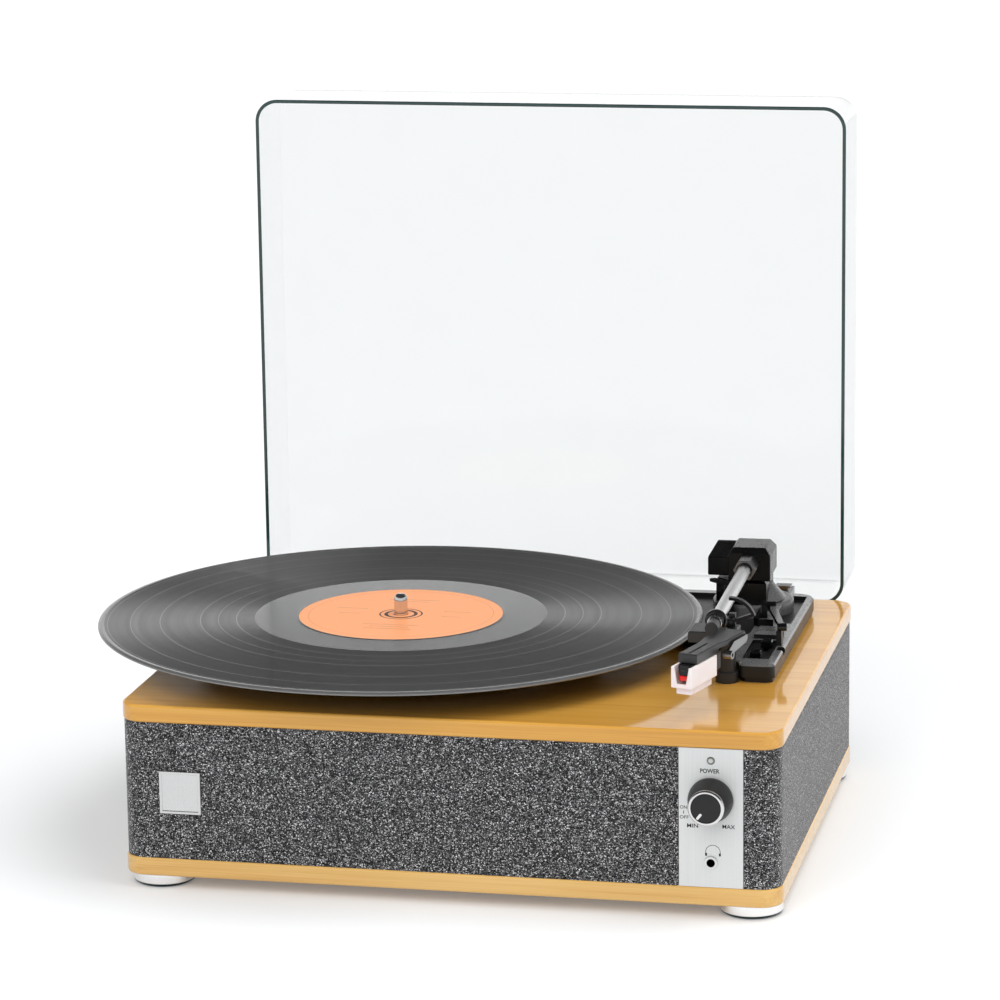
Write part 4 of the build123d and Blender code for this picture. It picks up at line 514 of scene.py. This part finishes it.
def softened(corners, radius, steps=5):
    """A profile with each inner corner rounded: the arc runs between the two tangent points at the
    corner radius, as a blend of the two tangents by the sine and cosine of the share of a quarter
    turn."""
    corners = np.asarray(corners, float)
    radii = np.full(len(corners), radius, float) if np.isscalar(radius) else np.asarray(radius, float)
    out = [corners[:1]]
    share = np.linspace(0, 1, steps)[:, None]
    for before, corner, after, r in zip(corners[:-2], corners[1:-1], corners[2:], radii[1:-1]):
        back, ahead = before - corner, after - corner
        room = 0.49 * min(np.linalg.norm(back), np.linalg.norm(ahead))
        reach = min(r, room)
        if reach <= 0:
            out.append(corner[None])
            continue
        start = corner + back / np.linalg.norm(back) * reach
        end = corner + ahead / np.linalg.norm(ahead) * reach
        bulge = (1 - share) ** 2 * start + 2 * share * (1 - share) * corner + share ** 2 * end
        out.append(bulge)
    out.append(corners[-1:])
    return np.concatenate(out)


def turned(name, profile, centre, axis, body, material, nodes=(), count=96, crease=35.0, start=None):
    """A turned piece. The profile gives radius and height in millimetres; each point is the centre plus
    the height along the axis plus the radius times the cosine and sine of the turn across it. Radius 0
    closes a pole."""
    profile = np.asarray(profile, float) * MM
    axis = np.asarray(axis, float)
    axis = axis / np.linalg.norm(axis)
    helper = np.array(start if start is not None else ((1.0, 0, 0) if abs(axis[0]) < 0.9 else (0, 1.0, 0)))
    side = helper - axis * np.dot(helper, axis)
    side = side / np.linalg.norm(side)
    other = np.cross(axis, side)
    turn = np.linspace(0, 2 * np.pi, count, endpoint=False)
    ring = np.cos(turn)[:, None] * side + np.sin(turn)[:, None] * other
    points = centre + profile[:, None, 1:2] * axis + profile[:, None, 0:1] * ring[None]
    faces = grid_faces(len(profile), count, wrap_columns=True)
    share = (faces % count) / count
    share = np.where((share == 0) & (share.max(1, keepdims=True) > 0.6), 1.0, share)
    radius = profile[faces // count, 0]
    uv = np.stack([share, radius], -1)
    piece = put(name, points, faces, body, material, nodes, uv, crease=crease)
    close_up(piece)
    return piece


def close_up(piece, gap=1e-7):
    """Merge the points that lie on each other and turn all faces outwards."""
    work = bmesh.new()
    work.from_mesh(piece.data)
    bmesh.ops.remove_doubles(work, verts=work.verts, dist=gap)
    bmesh.ops.recalc_face_normals(work, faces=work.faces)
    work.to_mesh(piece.data)
    work.free()


def cut_copy(name, node, body, material, edge=0.25, segments=2, limit=28.0, crease=30.0, extra=()):
    """A cleaned copy of a CAD node: its points are merged, its flat faces made whole, and its edges
    broken by a small rounding of the given width in millimetres."""
    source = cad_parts[node]
    mesh = source.data.copy()
    mesh.name = name
    mesh.materials.clear()
    work = bmesh.new()
    work.from_mesh(mesh)
    bmesh.ops.remove_doubles(work, verts=work.verts, dist=2e-6)
    bmesh.ops.dissolve_limit(work, angle_limit=math.radians(0.4), verts=work.verts, edges=work.edges)
    work.to_mesh(mesh)
    work.free()
    piece = bpy.data.objects.new(name, mesh)
    bpy.context.scene.collection.objects.link(piece)
    dress(piece, body, material, (node,) + tuple(extra), crease=crease)
    if edge > 0:
        soften = piece.modifiers.new("broken_edges", "BEVEL")
        soften.width = edge * MM
        soften.segments = segments
        soften.limit_method = "ANGLE"
        soften.angle_limit = math.radians(limit)
        soften.use_clamp_overlap = True
    even = piece.modifiers.new("even_shading", "WEIGHTED_NORMAL")
    even.mode = "FACE_AREA"
    even.weight = 100
    even.keep_sharp = True
    return piece


def paint(piece, choose):
    """Give each face of a piece one of its materials. The choice is made from the face's middle, in
    millimetres from the middle of the cabinet and from the deck, and from the way that it faces."""
    mesh = piece.data
    count = len(mesh.polygons)
    centres, normals = np.zeros(count * 3), np.zeros(count * 3)
    mesh.polygons.foreach_get("center", centres)
    mesh.polygons.foreach_get("normal", normals)
    places = (centres.reshape(-1, 3) - MIDDLE) / MM - np.array([0, 0, DECK / MM])
    index = choose(places[:, 0], places[:, 1], places[:, 2], normals.reshape(-1, 3))
    mesh.polygons.foreach_set("material_index", index.astype(np.int32))


def keep(node, material):
    """A CAD node that stays as it is, with a better material."""
    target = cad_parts[node]
    target.data.materials.clear()
    target.data.materials.append(material)


def lettering(name, text, width, height, centre, bold, material):
    """Letters on the front: Blender's own font made a mesh, stretched to its printed width and height,
    then set upright, facing the front, at its place."""
    curve = bpy.data.curves.new(name, "FONT")
    curve.body = text
    curve.size = 0.01
    curve.offset = bold * MM
    curve.extrude = 0.00003
    curve.resolution_u = 4
    holder = bpy.data.objects.new(name, curve)
    bpy.context.scene.collection.objects.link(holder)
    bpy.context.view_layer.update()
    mesh = bpy.data.meshes.new_from_object(holder)
    bpy.data.objects.remove(holder)
    points = np.zeros(len(mesh.vertices) * 3)
    mesh.vertices.foreach_get("co", points)
    points = points.reshape(-1, 3)
    low, high = points.min(0), points.max(0)
    flat = (points - (low + high) / 2) / (high - low) * np.array([width * MM, height * MM, 0.00006])
    upright = np.stack([flat[:, 0], -flat[:, 2], flat[:, 1]], -1) + centre
    mesh.vertices.foreach_set("co", upright.reshape(-1))
    mesh.update()
    piece = bpy.data.objects.new(name, mesh)
    bpy.context.scene.collection.objects.link(piece)
    return dress(piece, "cabinet", material, flat=True)


# Places and sizes used by several pieces

RECORD_CENTRE = spot(-51.6, 2.75, 0)
STRIP_W = 0.0215
RECORD_TOP = 106.65
RECORD_BOTTOM = 104.7
DEAD_WAX_R = 73.0
LABEL_R = 51.0
SPINDLE_R = 3.4
FOOT_X = 143.0
FOOT_Y = 112.25
TRACK_GAPS = (146.0, 134.7, 120.0, 100.0, 91.0, 82.0)
LABEL_BARS = (
    (-27.0, 8.0, 8.0, 0.35), (-26.0, -2.0, 6.0, 0.3), (27.0, 8.0, 7.0, 0.35), (26.0, -2.0, 5.0, 0.3),
    (0.0, 29.0, 13.0, 0.35), (0.0, 25.5, 9.0, 0.3), (0.0, -22.0, 14.0, 0.35), (0.0, -26.0, 10.0, 0.35),
    (0.0, -30.0, 12.0, 0.35),
)
PANEL_X = 126.4
PANEL_FACE = -128.95
PANEL_WORDS = (
    ("POWER", 9.1, 2.1, 125.95, 71.7, 0.18), ("MIN", 5.2, 1.9, 117.8, 45.05, 0.1),
    ("MAX", 5.9, 1.9, 134.75, 45.25, 0.1), ("ON", 3.3, 1.6, 113.55, 53.8, 0.06),
    ("I", 0.35, 1.5, 113.6, 51.4, 0.0), ("OFF", 4.2, 1.6, 113.9, 49.0, 0.06),
)
LAMP_Z = 76.6
KNOB_Z = 58.0
KNOB_FACE = 14.6
PHONES_Z = 27.5
TO_FRONT = (0, -1, 0)
UPWARDS = (0, 0, 1)
TOP_SHADES = (display(196, 134, 52), display(211, 153, 62), display(218, 162, 70), display(227, 176, 86))
LOW_SHADES = (display(200, 146, 72), display(218, 170, 94), display(226, 182, 108), display(234, 194, 126))
FLOOR_GLOW = 0.16
BEHIND_GLOSS = 1.7
LAMPS = (
    ("light_front", (-0.2, -1.2, 0.97), 1.75, 50.0),
    ("light_above", (0.45, 0.1, 1.0), 1.35, 40.0),
    ("light_right", (1.0, 0.1, 0.4), 0.7, 50.0),
)


def build_cabinet(m):
    cut_copy("top_board", "top_panel", "cabinet", m["bamboo_top"], edge=0.0, crease=40)
    cut_copy("bottom_board", "bottom_panel", "cabinet", m["bamboo_low"], edge=0.0, crease=40)
    keep("cabinet_frame", m["fibreboard"])
    cut_copy("grille_sleeve", "grille_cloth", "cabinet", m["cloth"], edge=0.0, crease=40)
    keep("foot_pads", m["rubber"])
    for name in ("foot_screws", "board_standoffs", "motor_bracket", "hinge_screws", "arm_pivot_pin"):
        keep(name, m["steel"])
    for name in ("speaker_frame_left", "speaker_frame_right"):
        keep(name, m["black"])
    for name in ("speaker_cone_left", "speaker_cone_right"):
        keep(name, m["cone"])
    for name in ("volume_pot", "motor"):
        keep(name, m["steel"])
    keep("main_board", m["board"])
    keep("platter_bearing", m["brass"])
    keep("motor_pulley", m["brass"])
    keep("drive_belt", m["rubber"])
    cut_copy("back_plate", "rear_panel", "cabinet", m["black"], edge=0.3)
    cut_copy("power_inlet", "dc_inlet", "cabinet", m["black"], edge=0.2)
    cut_copy("line_sockets", "line_jacks", "cabinet", m["socket"], edge=0.2)
    places = {"front_left": (-1, -1), "front_right": (1, -1), "back_left": (-1, 1), "back_right": (1, 1)}
    for where, (side, depth) in places.items():
        profile = softened(
            [(0, 6.5), (14.9, 6.5), (14.9, 1.0), (14.0, 0.35), (13.45, 0.35), (13.45, 1.5), (0, 1.5)],
            [0, 0.7, 0.6, 0.3, 0.1, 0, 0])
        turned("foot_cup_" + where, profile, spot(side * FOOT_X, depth * FOOT_Y, 0), UPWARDS,
               "cabinet", m["foot"], ("foot_" + where,), 96)


def build_front(m):
    cut_copy("front_plate", "control_panel", "cabinet", m["panel"], edge=0.2)
    lens = softened([(0, 0.5), (1.15, 0.5), (1.8, 0.0), (1.8, -5.0), (0, -5.0)], [0, 0.5, 0.2, 0, 0])
    turned("lamp_lens", lens, spot(PANEL_X, PANEL_FACE, LAMP_Z), TO_FRONT, "cabinet", m["lens"],
           ("power_led",), 48)
    knob = softened(
        [(0, KNOB_FACE), (7.0, KNOB_FACE), (7.0, 13.4), (8.5, 13.4), (10.6, 2.4), (10.6, 0.5), (8.7, 0.5),
         (8.7, 5.0), (3.0, 5.0), (3.0, -5.9), (0, -5.9)], [0, 0.15, 0, 0.1, 0.5, 0.25, 0.1, 0, 0, 0.1, 0])
    turned("knob_body", knob, spot(PANEL_X, PANEL_FACE, KNOB_Z), TO_FRONT, "knob", m["knob"],
           ("volume_knob",), 120)
    ring = softened([(7.1, 13.4), (8.5, 13.4), (8.5, 14.4), (7.9, 15.0), (7.1, 15.0), (7.1, 13.4)],
                    [0, 0.1, 0.25, 0.25, 0.1, 0])
    turned("knob_trim", ring, spot(PANEL_X, PANEL_FACE, KNOB_Z), TO_FRONT, "knob", m["trim"],
           ("knob_ring",), 120)
    knob_pointer(m)
    cut_copy("phone_socket", "headphone_jack", "cabinet", m["phones"], edge=0.18)
    for word, width, height, x, z, bold in PANEL_WORDS:
        lettering("print_" + word.lower(), word, width, height, spot(x, PANEL_FACE - 0.03, z), bold, m["ink"])
    phones_sign(m)
    cut_copy("badge", "badge_plate", "cabinet", m["badge"], edge=0.15)


def knob_pointer(m):
    """The pale pointer of the volume knob: a low bar with round ends, its outline two half circles
    joined by straight runs, raised by a tenth of a millimetre over the knob's face."""
    turn = np.linspace(0, 2 * np.pi, 33)[:-1]
    half_len, half_w = 1.1, 0.62
    x = np.sign(np.cos(turn)) * half_len + half_w * np.cos(turn)
    y = half_w * np.sin(turn)
    layers = np.array([[1.0, -0.2], [1.0, 0.06], [0.7, 0.12], [0.0, 0.12]])
    angle = math.radians(232.0)
    along = np.array([math.cos(angle), 0, math.sin(angle)])
    across = np.array([-math.sin(angle), 0, math.cos(angle)])
    centre = spot(PANEL_X, PANEL_FACE - KNOB_FACE, KNOB_Z) + along * 5.2 * MM
    points = (centre + (layers[:, 0:1, None] * x[None, :, None] * along
                        + layers[:, 0:1, None] * y[None, :, None] * across) * MM
              + layers[:, 1:2, None] * np.array([0, -1.0, 0]) * MM)
    faces = grid_faces(len(layers), len(turn), wrap_columns=True)
    piece = put("knob_pointer", points, faces, "knob", m["pointer"])
    close_up(piece)


def phones_sign(m):
    """The headphone sign: a flat band bent over a little more than half a circle, with a small block at
    each end. Its points are the circle's at two radii and two heights over the panel."""
    turn = np.radians(np.linspace(-14, 194, 49))
    radius = np.array([3.3, 3.3, 3.55, 3.55])
    rise = np.array([-0.02, 0.05, 0.05, -0.02])
    centre = spot(127.35, PANEL_FACE, 32.6)
    points = np.stack([
        centre[0] + radius[None] * np.cos(turn)[:, None] * MM,
        centre[1] - rise[None] * MM + 0 * turn[:, None],
        centre[2] + radius[None] * np.sin(turn)[:, None] * MM], -1)
    faces = grid_faces(len(turn), len(radius), wrap_columns=True)
    band = put("sign_band", points, faces, "cabinet", m["ink"], flat=True)
    close_up(band)
    for side, name in ((-1, "left"), (1, "right")):
        square = np.array([(-1, -1), (1, -1), (1, 1), (-1, 1)]) * np.array([0.45, 0.7])
        rise = np.array([-0.02, 0.06, 0.06])
        size = np.array([1.0, 1.0, 0.0])
        base = centre + np.array([side * 3.25, 0, -1.1]) * MM
        points = np.stack([
            base[0] + size[:, None] * square[None, :, 0] * MM,
            base[1] - rise[:, None] * MM + 0 * square[None, :, 0],
            base[2] + size[:, None] * square[None, :, 1] * MM], -1)
        faces = grid_faces(len(size), len(square), wrap_columns=True)
        pad = put("sign_pad_" + name, points, faces, "cabinet", m["ink"], flat=True)
        close_up(pad)


def build_player(m):
    centre = RECORD_CENTRE
    profile = softened(
        [(3.62, RECORD_BOTTOM + 0.12), (LABEL_R, RECORD_BOTTOM + 0.12), (LABEL_R, RECORD_BOTTOM),
         (149.2, RECORD_BOTTOM),
         (150.75, RECORD_BOTTOM + 0.5), (150.75, RECORD_TOP - 0.5), (149.4, RECORD_TOP),
         (148.2, RECORD_TOP - 0.02),
         (147.0, RECORD_TOP - 0.28), (DEAD_WAX_R, RECORD_TOP - 0.28), (DEAD_WAX_R - 0.3, RECORD_TOP - 0.2),
         (LABEL_R + 1.2, RECORD_TOP - 0.2), (LABEL_R + 0.6, RECORD_TOP), (LABEL_R, RECORD_TOP),
         (LABEL_R, RECORD_TOP - 0.12),
         (3.62, RECORD_TOP - 0.12), (3.62, RECORD_BOTTOM + 0.12)],
        [0, 0, 0, 0.3, 0.5, 0.5, 0.3, 0.3, 0.3, 0.1, 0.1, 0.2, 0.2, 0, 0, 0.05, 0])
    turned("long_play_record", profile, centre, UPWARDS, "record", m["vinyl"], ("record",),
           360, crease=50)
    top = [(3.7, RECORD_TOP - 0.115), (3.7, RECORD_TOP - 0.01), (LABEL_R - 0.1, RECORD_TOP - 0.01),
           (LABEL_R - 0.1, RECORD_TOP - 0.115),
           (3.7, RECORD_TOP - 0.115)]
    turned("label_top", top, centre, UPWARDS, "record", m["label"], ("record_label",), 180)
    low = [(3.7, RECORD_BOTTOM + 0.115), (LABEL_R - 0.1, RECORD_BOTTOM + 0.115),
           (LABEL_R - 0.1, RECORD_BOTTOM + 0.01),
           (3.7, RECORD_BOTTOM + 0.01), (3.7, RECORD_BOTTOM + 0.115)]
    turned("label_under", low, centre, UPWARDS, "record", m["label"], (), 180)
    spindle = softened(
        [(0, 72.5), (3.6, 72.5), (3.6, 91.7), (8.0, 91.7), (8.0, 93.1), (3.6, 93.1), (3.6, 104.6),
         (SPINDLE_R, 104.7), (SPINDLE_R, 114.6), (2.8, 116.4), (1.4, 117.15), (0, 117.15)],
        [0, 0.3, 0, 0.2, 0.2, 0, 0, 0, 1.2, 1.0, 0.7, 0])
    turned("centre_spindle", spindle, centre, UPWARDS, "platter", m["spindle"],
           ("spindle",), 64)
    cut_copy("platter_casting", "platter", "platter", m["satin_black"], edge=0.0, crease=35)
    mat = softened(
        [(4.5, 102.1), (98.0, 102.1), (98.0, 104.6), (95.5, 104.6), (95.0, 104.2), (88.5, 104.2),
         (88.0, 104.6), (56.0, 104.6), (55.5, 104.3), (53.5, 104.3), (53.0, 104.6), (4.5, 104.6),
         (4.5, 102.1)], 0.3)
    turned("rubber_mat", mat, centre, UPWARDS, "platter", m["rubber"], ("slipmat",), 180)


def build_arm(m):
    plate = cut_copy("arm_base_plate", "arm_base", "cabinet", [m["base"], m["painted_sheen_border"]],
                     edge=0.35)
    # The upward faces of the raised border get a paler grey: a painted sheen, standing for light reflected
    # off the top of the black base.
    paint(plate, lambda x, y, z, way: (z > 8.0) & (way[:, 2] > 0.5))
    skirt = cut_copy("arm_skirt", "arm_turret_skirt", "cabinet", [m["gloss"], m["skirt"]],
                     edge=0.3)
    paint(skirt, lambda x, y, z, way: ((x > 124.2) | (x < 97.2) | (y > 83.2) | (y < 58.7)) & (y > 52.0))
    cut_copy("arm_rest_post", "arm_rest", "cabinet", m["rest"], edge=0.35)
    cut_copy("yoke", "arm_post", "turret", m["black"], edge=0.2)
    cut_copy("arm_head", "head_block", "tonearm", m["head"], edge=0.55, segments=3)
    cut_copy("hex_collar", "arm_collar", "tonearm", m["collar"], edge=0.25)
    cut_copy("arm_pipe", "arm_tube", "tonearm", m["pipe"], edge=0.0, crease=40)
    nut = cut_copy("ring_nut", "lock_ring", "tonearm", [m["glossy_black"], m["trim"]],
                   edge=0.2)
    front = (nut.bound_box[0][1] - MIDDLE[1]) / MM
    paint(nut, lambda x, y, z, way: y < front + 4.9)
    cut_copy("shell", "headshell", "tonearm", m["shell"], edge=0.22)
    cut_copy("finger_tab", "finger_lift", "tonearm", m["tab"], edge=0.2)
    cut_copy("pickup", "cartridge", "tonearm", m["black"], edge=0.15)
    cut_copy("needle_block", "stylus", "tonearm", m["red"], edge=0.12)
    cut_copy("needle_cover", "stylus_guard", "guard", m["milky"], edge=0.25)
    cut_copy("tube_clip", "arm_clip", "clip", m["black"], edge=0.2)
    cut_copy("lever_blade", "cue_lever", "lever", m["glossy_black"], edge=0.2)
    cut_copy("lift_bar", "cue_lift", "lifter", m["black"], edge=0.2)
    cut_copy("speed_slide", "speed_switch", "speed_slider", m["glossy_black"], edge=0.15)
    cut_copy("stop_slide", "auto_stop_switch", "stop_slider", m["glossy_black"], edge=0.15)


def at_shell(across, back, height):
    """A point of the headshell: millimetres to its right, back from its front edge, and up from the
    deck."""
    turn = math.radians(-15.5)
    x = 114.65 + across * np.cos(turn) - back * np.sin(turn)
    y = -122.6 + across * np.sin(turn) + back * np.cos(turn)
    return np.stack(np.broadcast_arrays(x, y, height + DECK / MM), -1) * MM + MIDDLE


def shell_block(name, layers, material):
    """A small moulded block under the headshell. Each layer gives its height, half width, middle and
    half depth; its outline is a rounded rectangle: the sixth root of cosine and sine with their signs,
    times the half sizes."""
    layers = np.asarray(layers, float)
    turn = np.linspace(0, 2 * np.pi, 48, endpoint=False)
    wide = np.sign(np.cos(turn)) * np.abs(np.cos(turn)) ** (1 / 6)
    deep = np.sign(np.sin(turn)) * np.abs(np.sin(turn)) ** (1 / 6)
    points = at_shell(layers[:, 1:2] * wide, layers[:, 2:3] + layers[:, 3:4] * deep, layers[:, 0:1])
    piece = put(name, points, grid_faces(len(layers), 48, wrap_columns=True), "tonearm", material)
    close_up(piece)


def build_pickup_nose(m):
    """The front of the cartridge, seen in the opening of the guard: a black taper over the red needle
    holder."""
    shell_block("pickup_nose", [(29.9, 0, -0.9, 0), (29.9, 3.0, -0.9, 3.3), (27.2, 2.7, -1.1, 3.3),
                                (25.3, 2.15, -1.3, 3.3), (25.1, 2.0, -1.3, 3.1), (25.1, 0, -1.3, 0)],
                m["gloss"])
    shell_block("pickup_brow", [(27.9, 0, -2.6, 0), (27.9, 1.7, -2.6, 2.2), (27.2, 1.8, -2.6, 2.3),
                                (27.2, 0, -2.6, 0)], m["rest"])
    shell_block("needle_holder", [(25.05, 0, -1.9, 0), (25.05, 1.95, -1.9, 3.0), (24.9, 2.05, -1.9, 3.1),
                                  (23.0, 1.95, -1.9, 3.1), (22.8, 1.8, -1.9, 2.9), (22.8, 0, -1.9, 0)],
                m["red"])


def build_lid(m):
    lid = cut_copy("dust_cover", "lid", "lid", [m["clear"], m["edge"]], edge=0.0, crease=30)
    # The front-facing rim faces take the opaque dark green blue: painted shade in place of the clear sheet's
    # dark edge.
    paint(lid, lambda x, y, z, way: (y < 131.0) & (way[:, 1] < -0.3))
    cut_copy("hinge_arms", "hinge_lid_plates", "lid", m["steel"], edge=0.2)
    cut_copy("hinge_leaves", "hinge_cabinet_plates", "cabinet", m["steel"], edge=0.2)
    keep("hinge_pins", m["steel"])


def sight(tree):
    """A socket that is 1 for what the camera sees, directly, in gloss or through glass, and 0 for soft
    light."""
    path = tree.nodes.new("ShaderNodeLightPath")
    first = tree.nodes.new("ShaderNodeMath")
    first.operation = "MAXIMUM"
    second = tree.nodes.new("ShaderNodeMath")
    second.operation = "MAXIMUM"
    tree.links.new(path.outputs["Is Camera Ray"], first.inputs[0])
    tree.links.new(path.outputs["Is Glossy Ray"], first.inputs[1])
    tree.links.new(first.outputs[0], second.inputs[0])
    tree.links.new(path.outputs["Is Transmission Ray"], second.inputs[1])
    return second.outputs[0]


def floor_finish():
    """Pale studio floor that keeps the soft shadow, with a little glow for the camera, gloss and glass."""
    material = bpy.data.materials.new("studio_floor")
    material.use_nodes = True
    tree = material.node_tree
    tree.nodes.clear()
    out = tree.nodes.new("ShaderNodeOutputMaterial")
    both = tree.nodes.new("ShaderNodeAddShader")
    diffuse = tree.nodes.new("ShaderNodeBsdfDiffuse")
    diffuse.inputs["Color"].default_value = (0.79, 0.8, 0.81, 1)
    glow = tree.nodes.new("ShaderNodeEmission")
    gain = tree.nodes.new("ShaderNodeMath")
    gain.operation = "MULTIPLY"
    gain.inputs[1].default_value = FLOOR_GLOW
    tree.links.new(sight(tree), gain.inputs[0])
    tree.links.new(gain.outputs[0], glow.inputs["Strength"])
    tree.links.new(diffuse.outputs[0], both.inputs[0])
    tree.links.new(glow.outputs[0], both.inputs[1])
    tree.links.new(both.outputs[0], out.inputs["Surface"])
    return material


def studio_world():
    """A plain pale room: for diffuse light soft and stronger from above, white to the camera, and in
    gloss and through glass white near the horizon, brightest behind the player, and dim overhead."""
    world = bpy.data.worlds.new("studio")
    world.use_nodes = True
    tree = world.node_tree
    tree.nodes.clear()
    out = tree.nodes.new("ShaderNodeOutputWorld")
    sky = tree.nodes.new("ShaderNodeBackground")
    path = tree.nodes.new("ShaderNodeLightPath")
    direction = tree.nodes.new("ShaderNodeTexCoord")
    height = tree.nodes.new("ShaderNodeSeparateXYZ")
    dim = tree.nodes.new("ShaderNodeMapRange")
    for socket, value in zip(list(dim.inputs)[1:5], (0.27, 0.38, 1.0, 0.08)):
        socket.default_value = value
    soft = tree.nodes.new("ShaderNodeMapRange")
    for socket, value in zip(list(soft.inputs)[1:5], (0.25, 0.6, 0.15, 0.55)):
        socket.default_value = value
    behind = tree.nodes.new("ShaderNodeMapRange")
    for socket, value in zip(list(behind.inputs)[1:5], (0.7, 0.95, 1.0, BEHIND_GLOSS)):
        socket.default_value = value
    gloss = tree.nodes.new("ShaderNodeMath")
    gloss.operation = "MULTIPLY"
    shiny = tree.nodes.new("ShaderNodeMix")
    mirrored = tree.nodes.new("ShaderNodeMath")
    mirrored.operation = "MAXIMUM"
    seen = tree.nodes.new("ShaderNodeMix")
    seen.inputs[3].default_value = 1.0
    link = tree.links.new
    link(direction.outputs["Generated"], height.inputs[0])
    link(height.outputs["Z"], dim.inputs["Value"])
    link(height.outputs["Z"], soft.inputs["Value"])
    link(soft.outputs[0], shiny.inputs[2])
    link(path.outputs["Is Glossy Ray"], mirrored.inputs[0])
    link(path.outputs["Is Transmission Ray"], mirrored.inputs[1])
    link(mirrored.outputs[0], shiny.inputs[0])
    link(height.outputs["Y"], behind.inputs["Value"])
    link(dim.outputs[0], gloss.inputs[0])
    link(behind.outputs[0], gloss.inputs[1])
    link(gloss.outputs[0], shiny.inputs[3])
    link(path.outputs["Is Camera Ray"], seen.inputs[0])
    link(shiny.outputs[0], seen.inputs[2])
    link(seen.outputs[0], sky.inputs["Strength"])
    link(sky.outputs[0], out.inputs["Surface"])
    bpy.context.scene.world = world


def build_stage():
    """Floor, room and lamps."""
    half = 9.0
    low = -0.0002
    mesh = bpy.data.meshes.new("studio_floor")
    mesh.from_pydata([(-half, -half, low), (half, -half, low), (half, half, low), (-half, half, low)],
                     [], [(0, 1, 2, 3)])
    mesh.materials.append(floor_finish())
    floor = bpy.data.objects.new("studio_floor", mesh)
    bpy.context.scene.collection.objects.link(floor)
    studio_world()
    for name, place, power, spread in LAMPS:
        soft_sun(name, place, power, spread)


def soft_sun(name, place, power, spread):
    """Even soft light from one side: its direction is from the place to the origin, its spread an
    angle. The room alone is mirrored in glossy parts."""
    data = bpy.data.lights.new(name, "SUN")
    data.energy = power
    data.angle = math.radians(spread)
    light = bpy.data.objects.new(name, data)
    light.location = place
    light.visible_glossy = False
    light.rotation_euler = Vector(place).to_track_quat("Z", "Y").to_euler()
    bpy.context.scene.collection.objects.link(light)


def finishes():
    """Every material of the player by a short name."""
    return {
        "bamboo_top": bamboo("bamboo_top", TOP_SHADES, display(170, 112, 50)),
        "bamboo_low": bamboo("bamboo_low", LOW_SHADES, display(182, 130, 70)),
        "fibreboard": board_core("fibreboard_core"),
        "cloth": heather_cloth("heather_grille_cloth"),
        "rubber": moulded("soft_rubber", grey(22), grey(34), 0.8, 500.0, 0.0001, 0.25),
        "steel": metal("plain_steel", grey(140), grey(180), 0.38, (1, 6, 6)),
        "brass": metal("turned_brass", display(178, 138, 70), display(214, 176, 104), 0.3, (8, 8, 1)),
        "cone": moulded("speaker_paper", grey(34), grey(54), 0.85, 700.0, 0.0002, 0.2),
        "board": printed_board("green_board"),
        "foot": plated_cup("plated_cup"),
        "panel": aluminium_front("anodised_front"),
        "lens": lamp_lens("lamp_lens"),
        "knob": moulded("knob_black", grey(24), grey(34), 0.42, 1500.0, 0.00003, 0.35),
        "trim": metal("knob_trim", grey(208), grey(230), 0.2, (1, 1, 1), 900.0),
        "pointer": moulded("pointer_white", grey(224), grey(238), 0.35, 900.0, 0.00001),
        "socket": metal("socket_nickel", grey(190), grey(215), 0.22, (1, 1, 1), 700.0),
        "phones": socket_finish("phone_socket"),
        "ink": ink("panel_ink"),
        "badge": metal("badge_silver", grey(196), grey(220), 0.3, (40, 1, 1), 90.0),
        "vinyl": vinyl("record_vinyl"),
        "label": printed_label("label_orange"),
        "spindle": metal("spindle_steel", grey(206), grey(228), 0.14, (1, 1, 30), 300.0),
        "satin_black": moulded("platter_black", grey(20), grey(30), 0.4, 600.0),
        "base": moulded("base_black", grey(20), grey(30), 0.34, 1300.0, 0.00004, 0.35),
        "skirt": moulded("skirt_grey", grey(86), grey(98), 0.26, 1200.0, 0.00002, 0.45),
        "rest": moulded("rest_grey", grey(34), grey(46), 0.36, 1200.0, 0.00003, 0.4),
        "black": moulded("black_plastic", grey(12), grey(20), 0.36, 1200.0, 0.00003, 0.25),
        # Paler grey for the border's top faces: a painted sheen on black plastic.
        "painted_sheen_border": moulded("border_grey", grey(90), grey(104), 0.28, 1300.0, 0.00002, 0.5, 0.4),
        "gloss": moulded("pedestal_black", grey(8), grey(13), 0.2, 1200.0, 0.00001, 0.35),
        "glossy_black": moulded("glossy_black", grey(8), grey(14), 0.14, 900.0, 0.00001, 0.4),
        "head": moulded("head_black", grey(8), grey(14), 0.24, 1500.0, 0.00001, 0.22),
        "collar": metal("collar_grey", grey(112), grey(132), 0.32, (1, 12, 1)),
        "pipe": metal("tube_silver", grey(196), grey(216), 0.3, (1, 12, 1), 900.0),
        "shell": moulded("shell_grey", grey(40), grey(50), 0.36, 1300.0, 0.00003, 0.45),
        "tab": metal("tab_grey", grey(132), grey(156), 0.35, (1, 10, 1)),
        "red": moulded("needle_red", display(206, 20, 18), display(228, 34, 26), 0.25, 900.0, 0.00001),
        "milky": milky("milky_white"),
        "clear": clear_acrylic("clear_acrylic"),
        "edge": painted_dark_rim("polished_rim_painted_dark"),
    }


place_camera()
build_stage()
materials = finishes()
build_cabinet(materials)
build_front(materials)
build_player(materials)
build_arm(materials)
build_pickup_nose(materials)
build_lid(materials)

bpy.context.scene.view_settings.view_transform = "Standard"
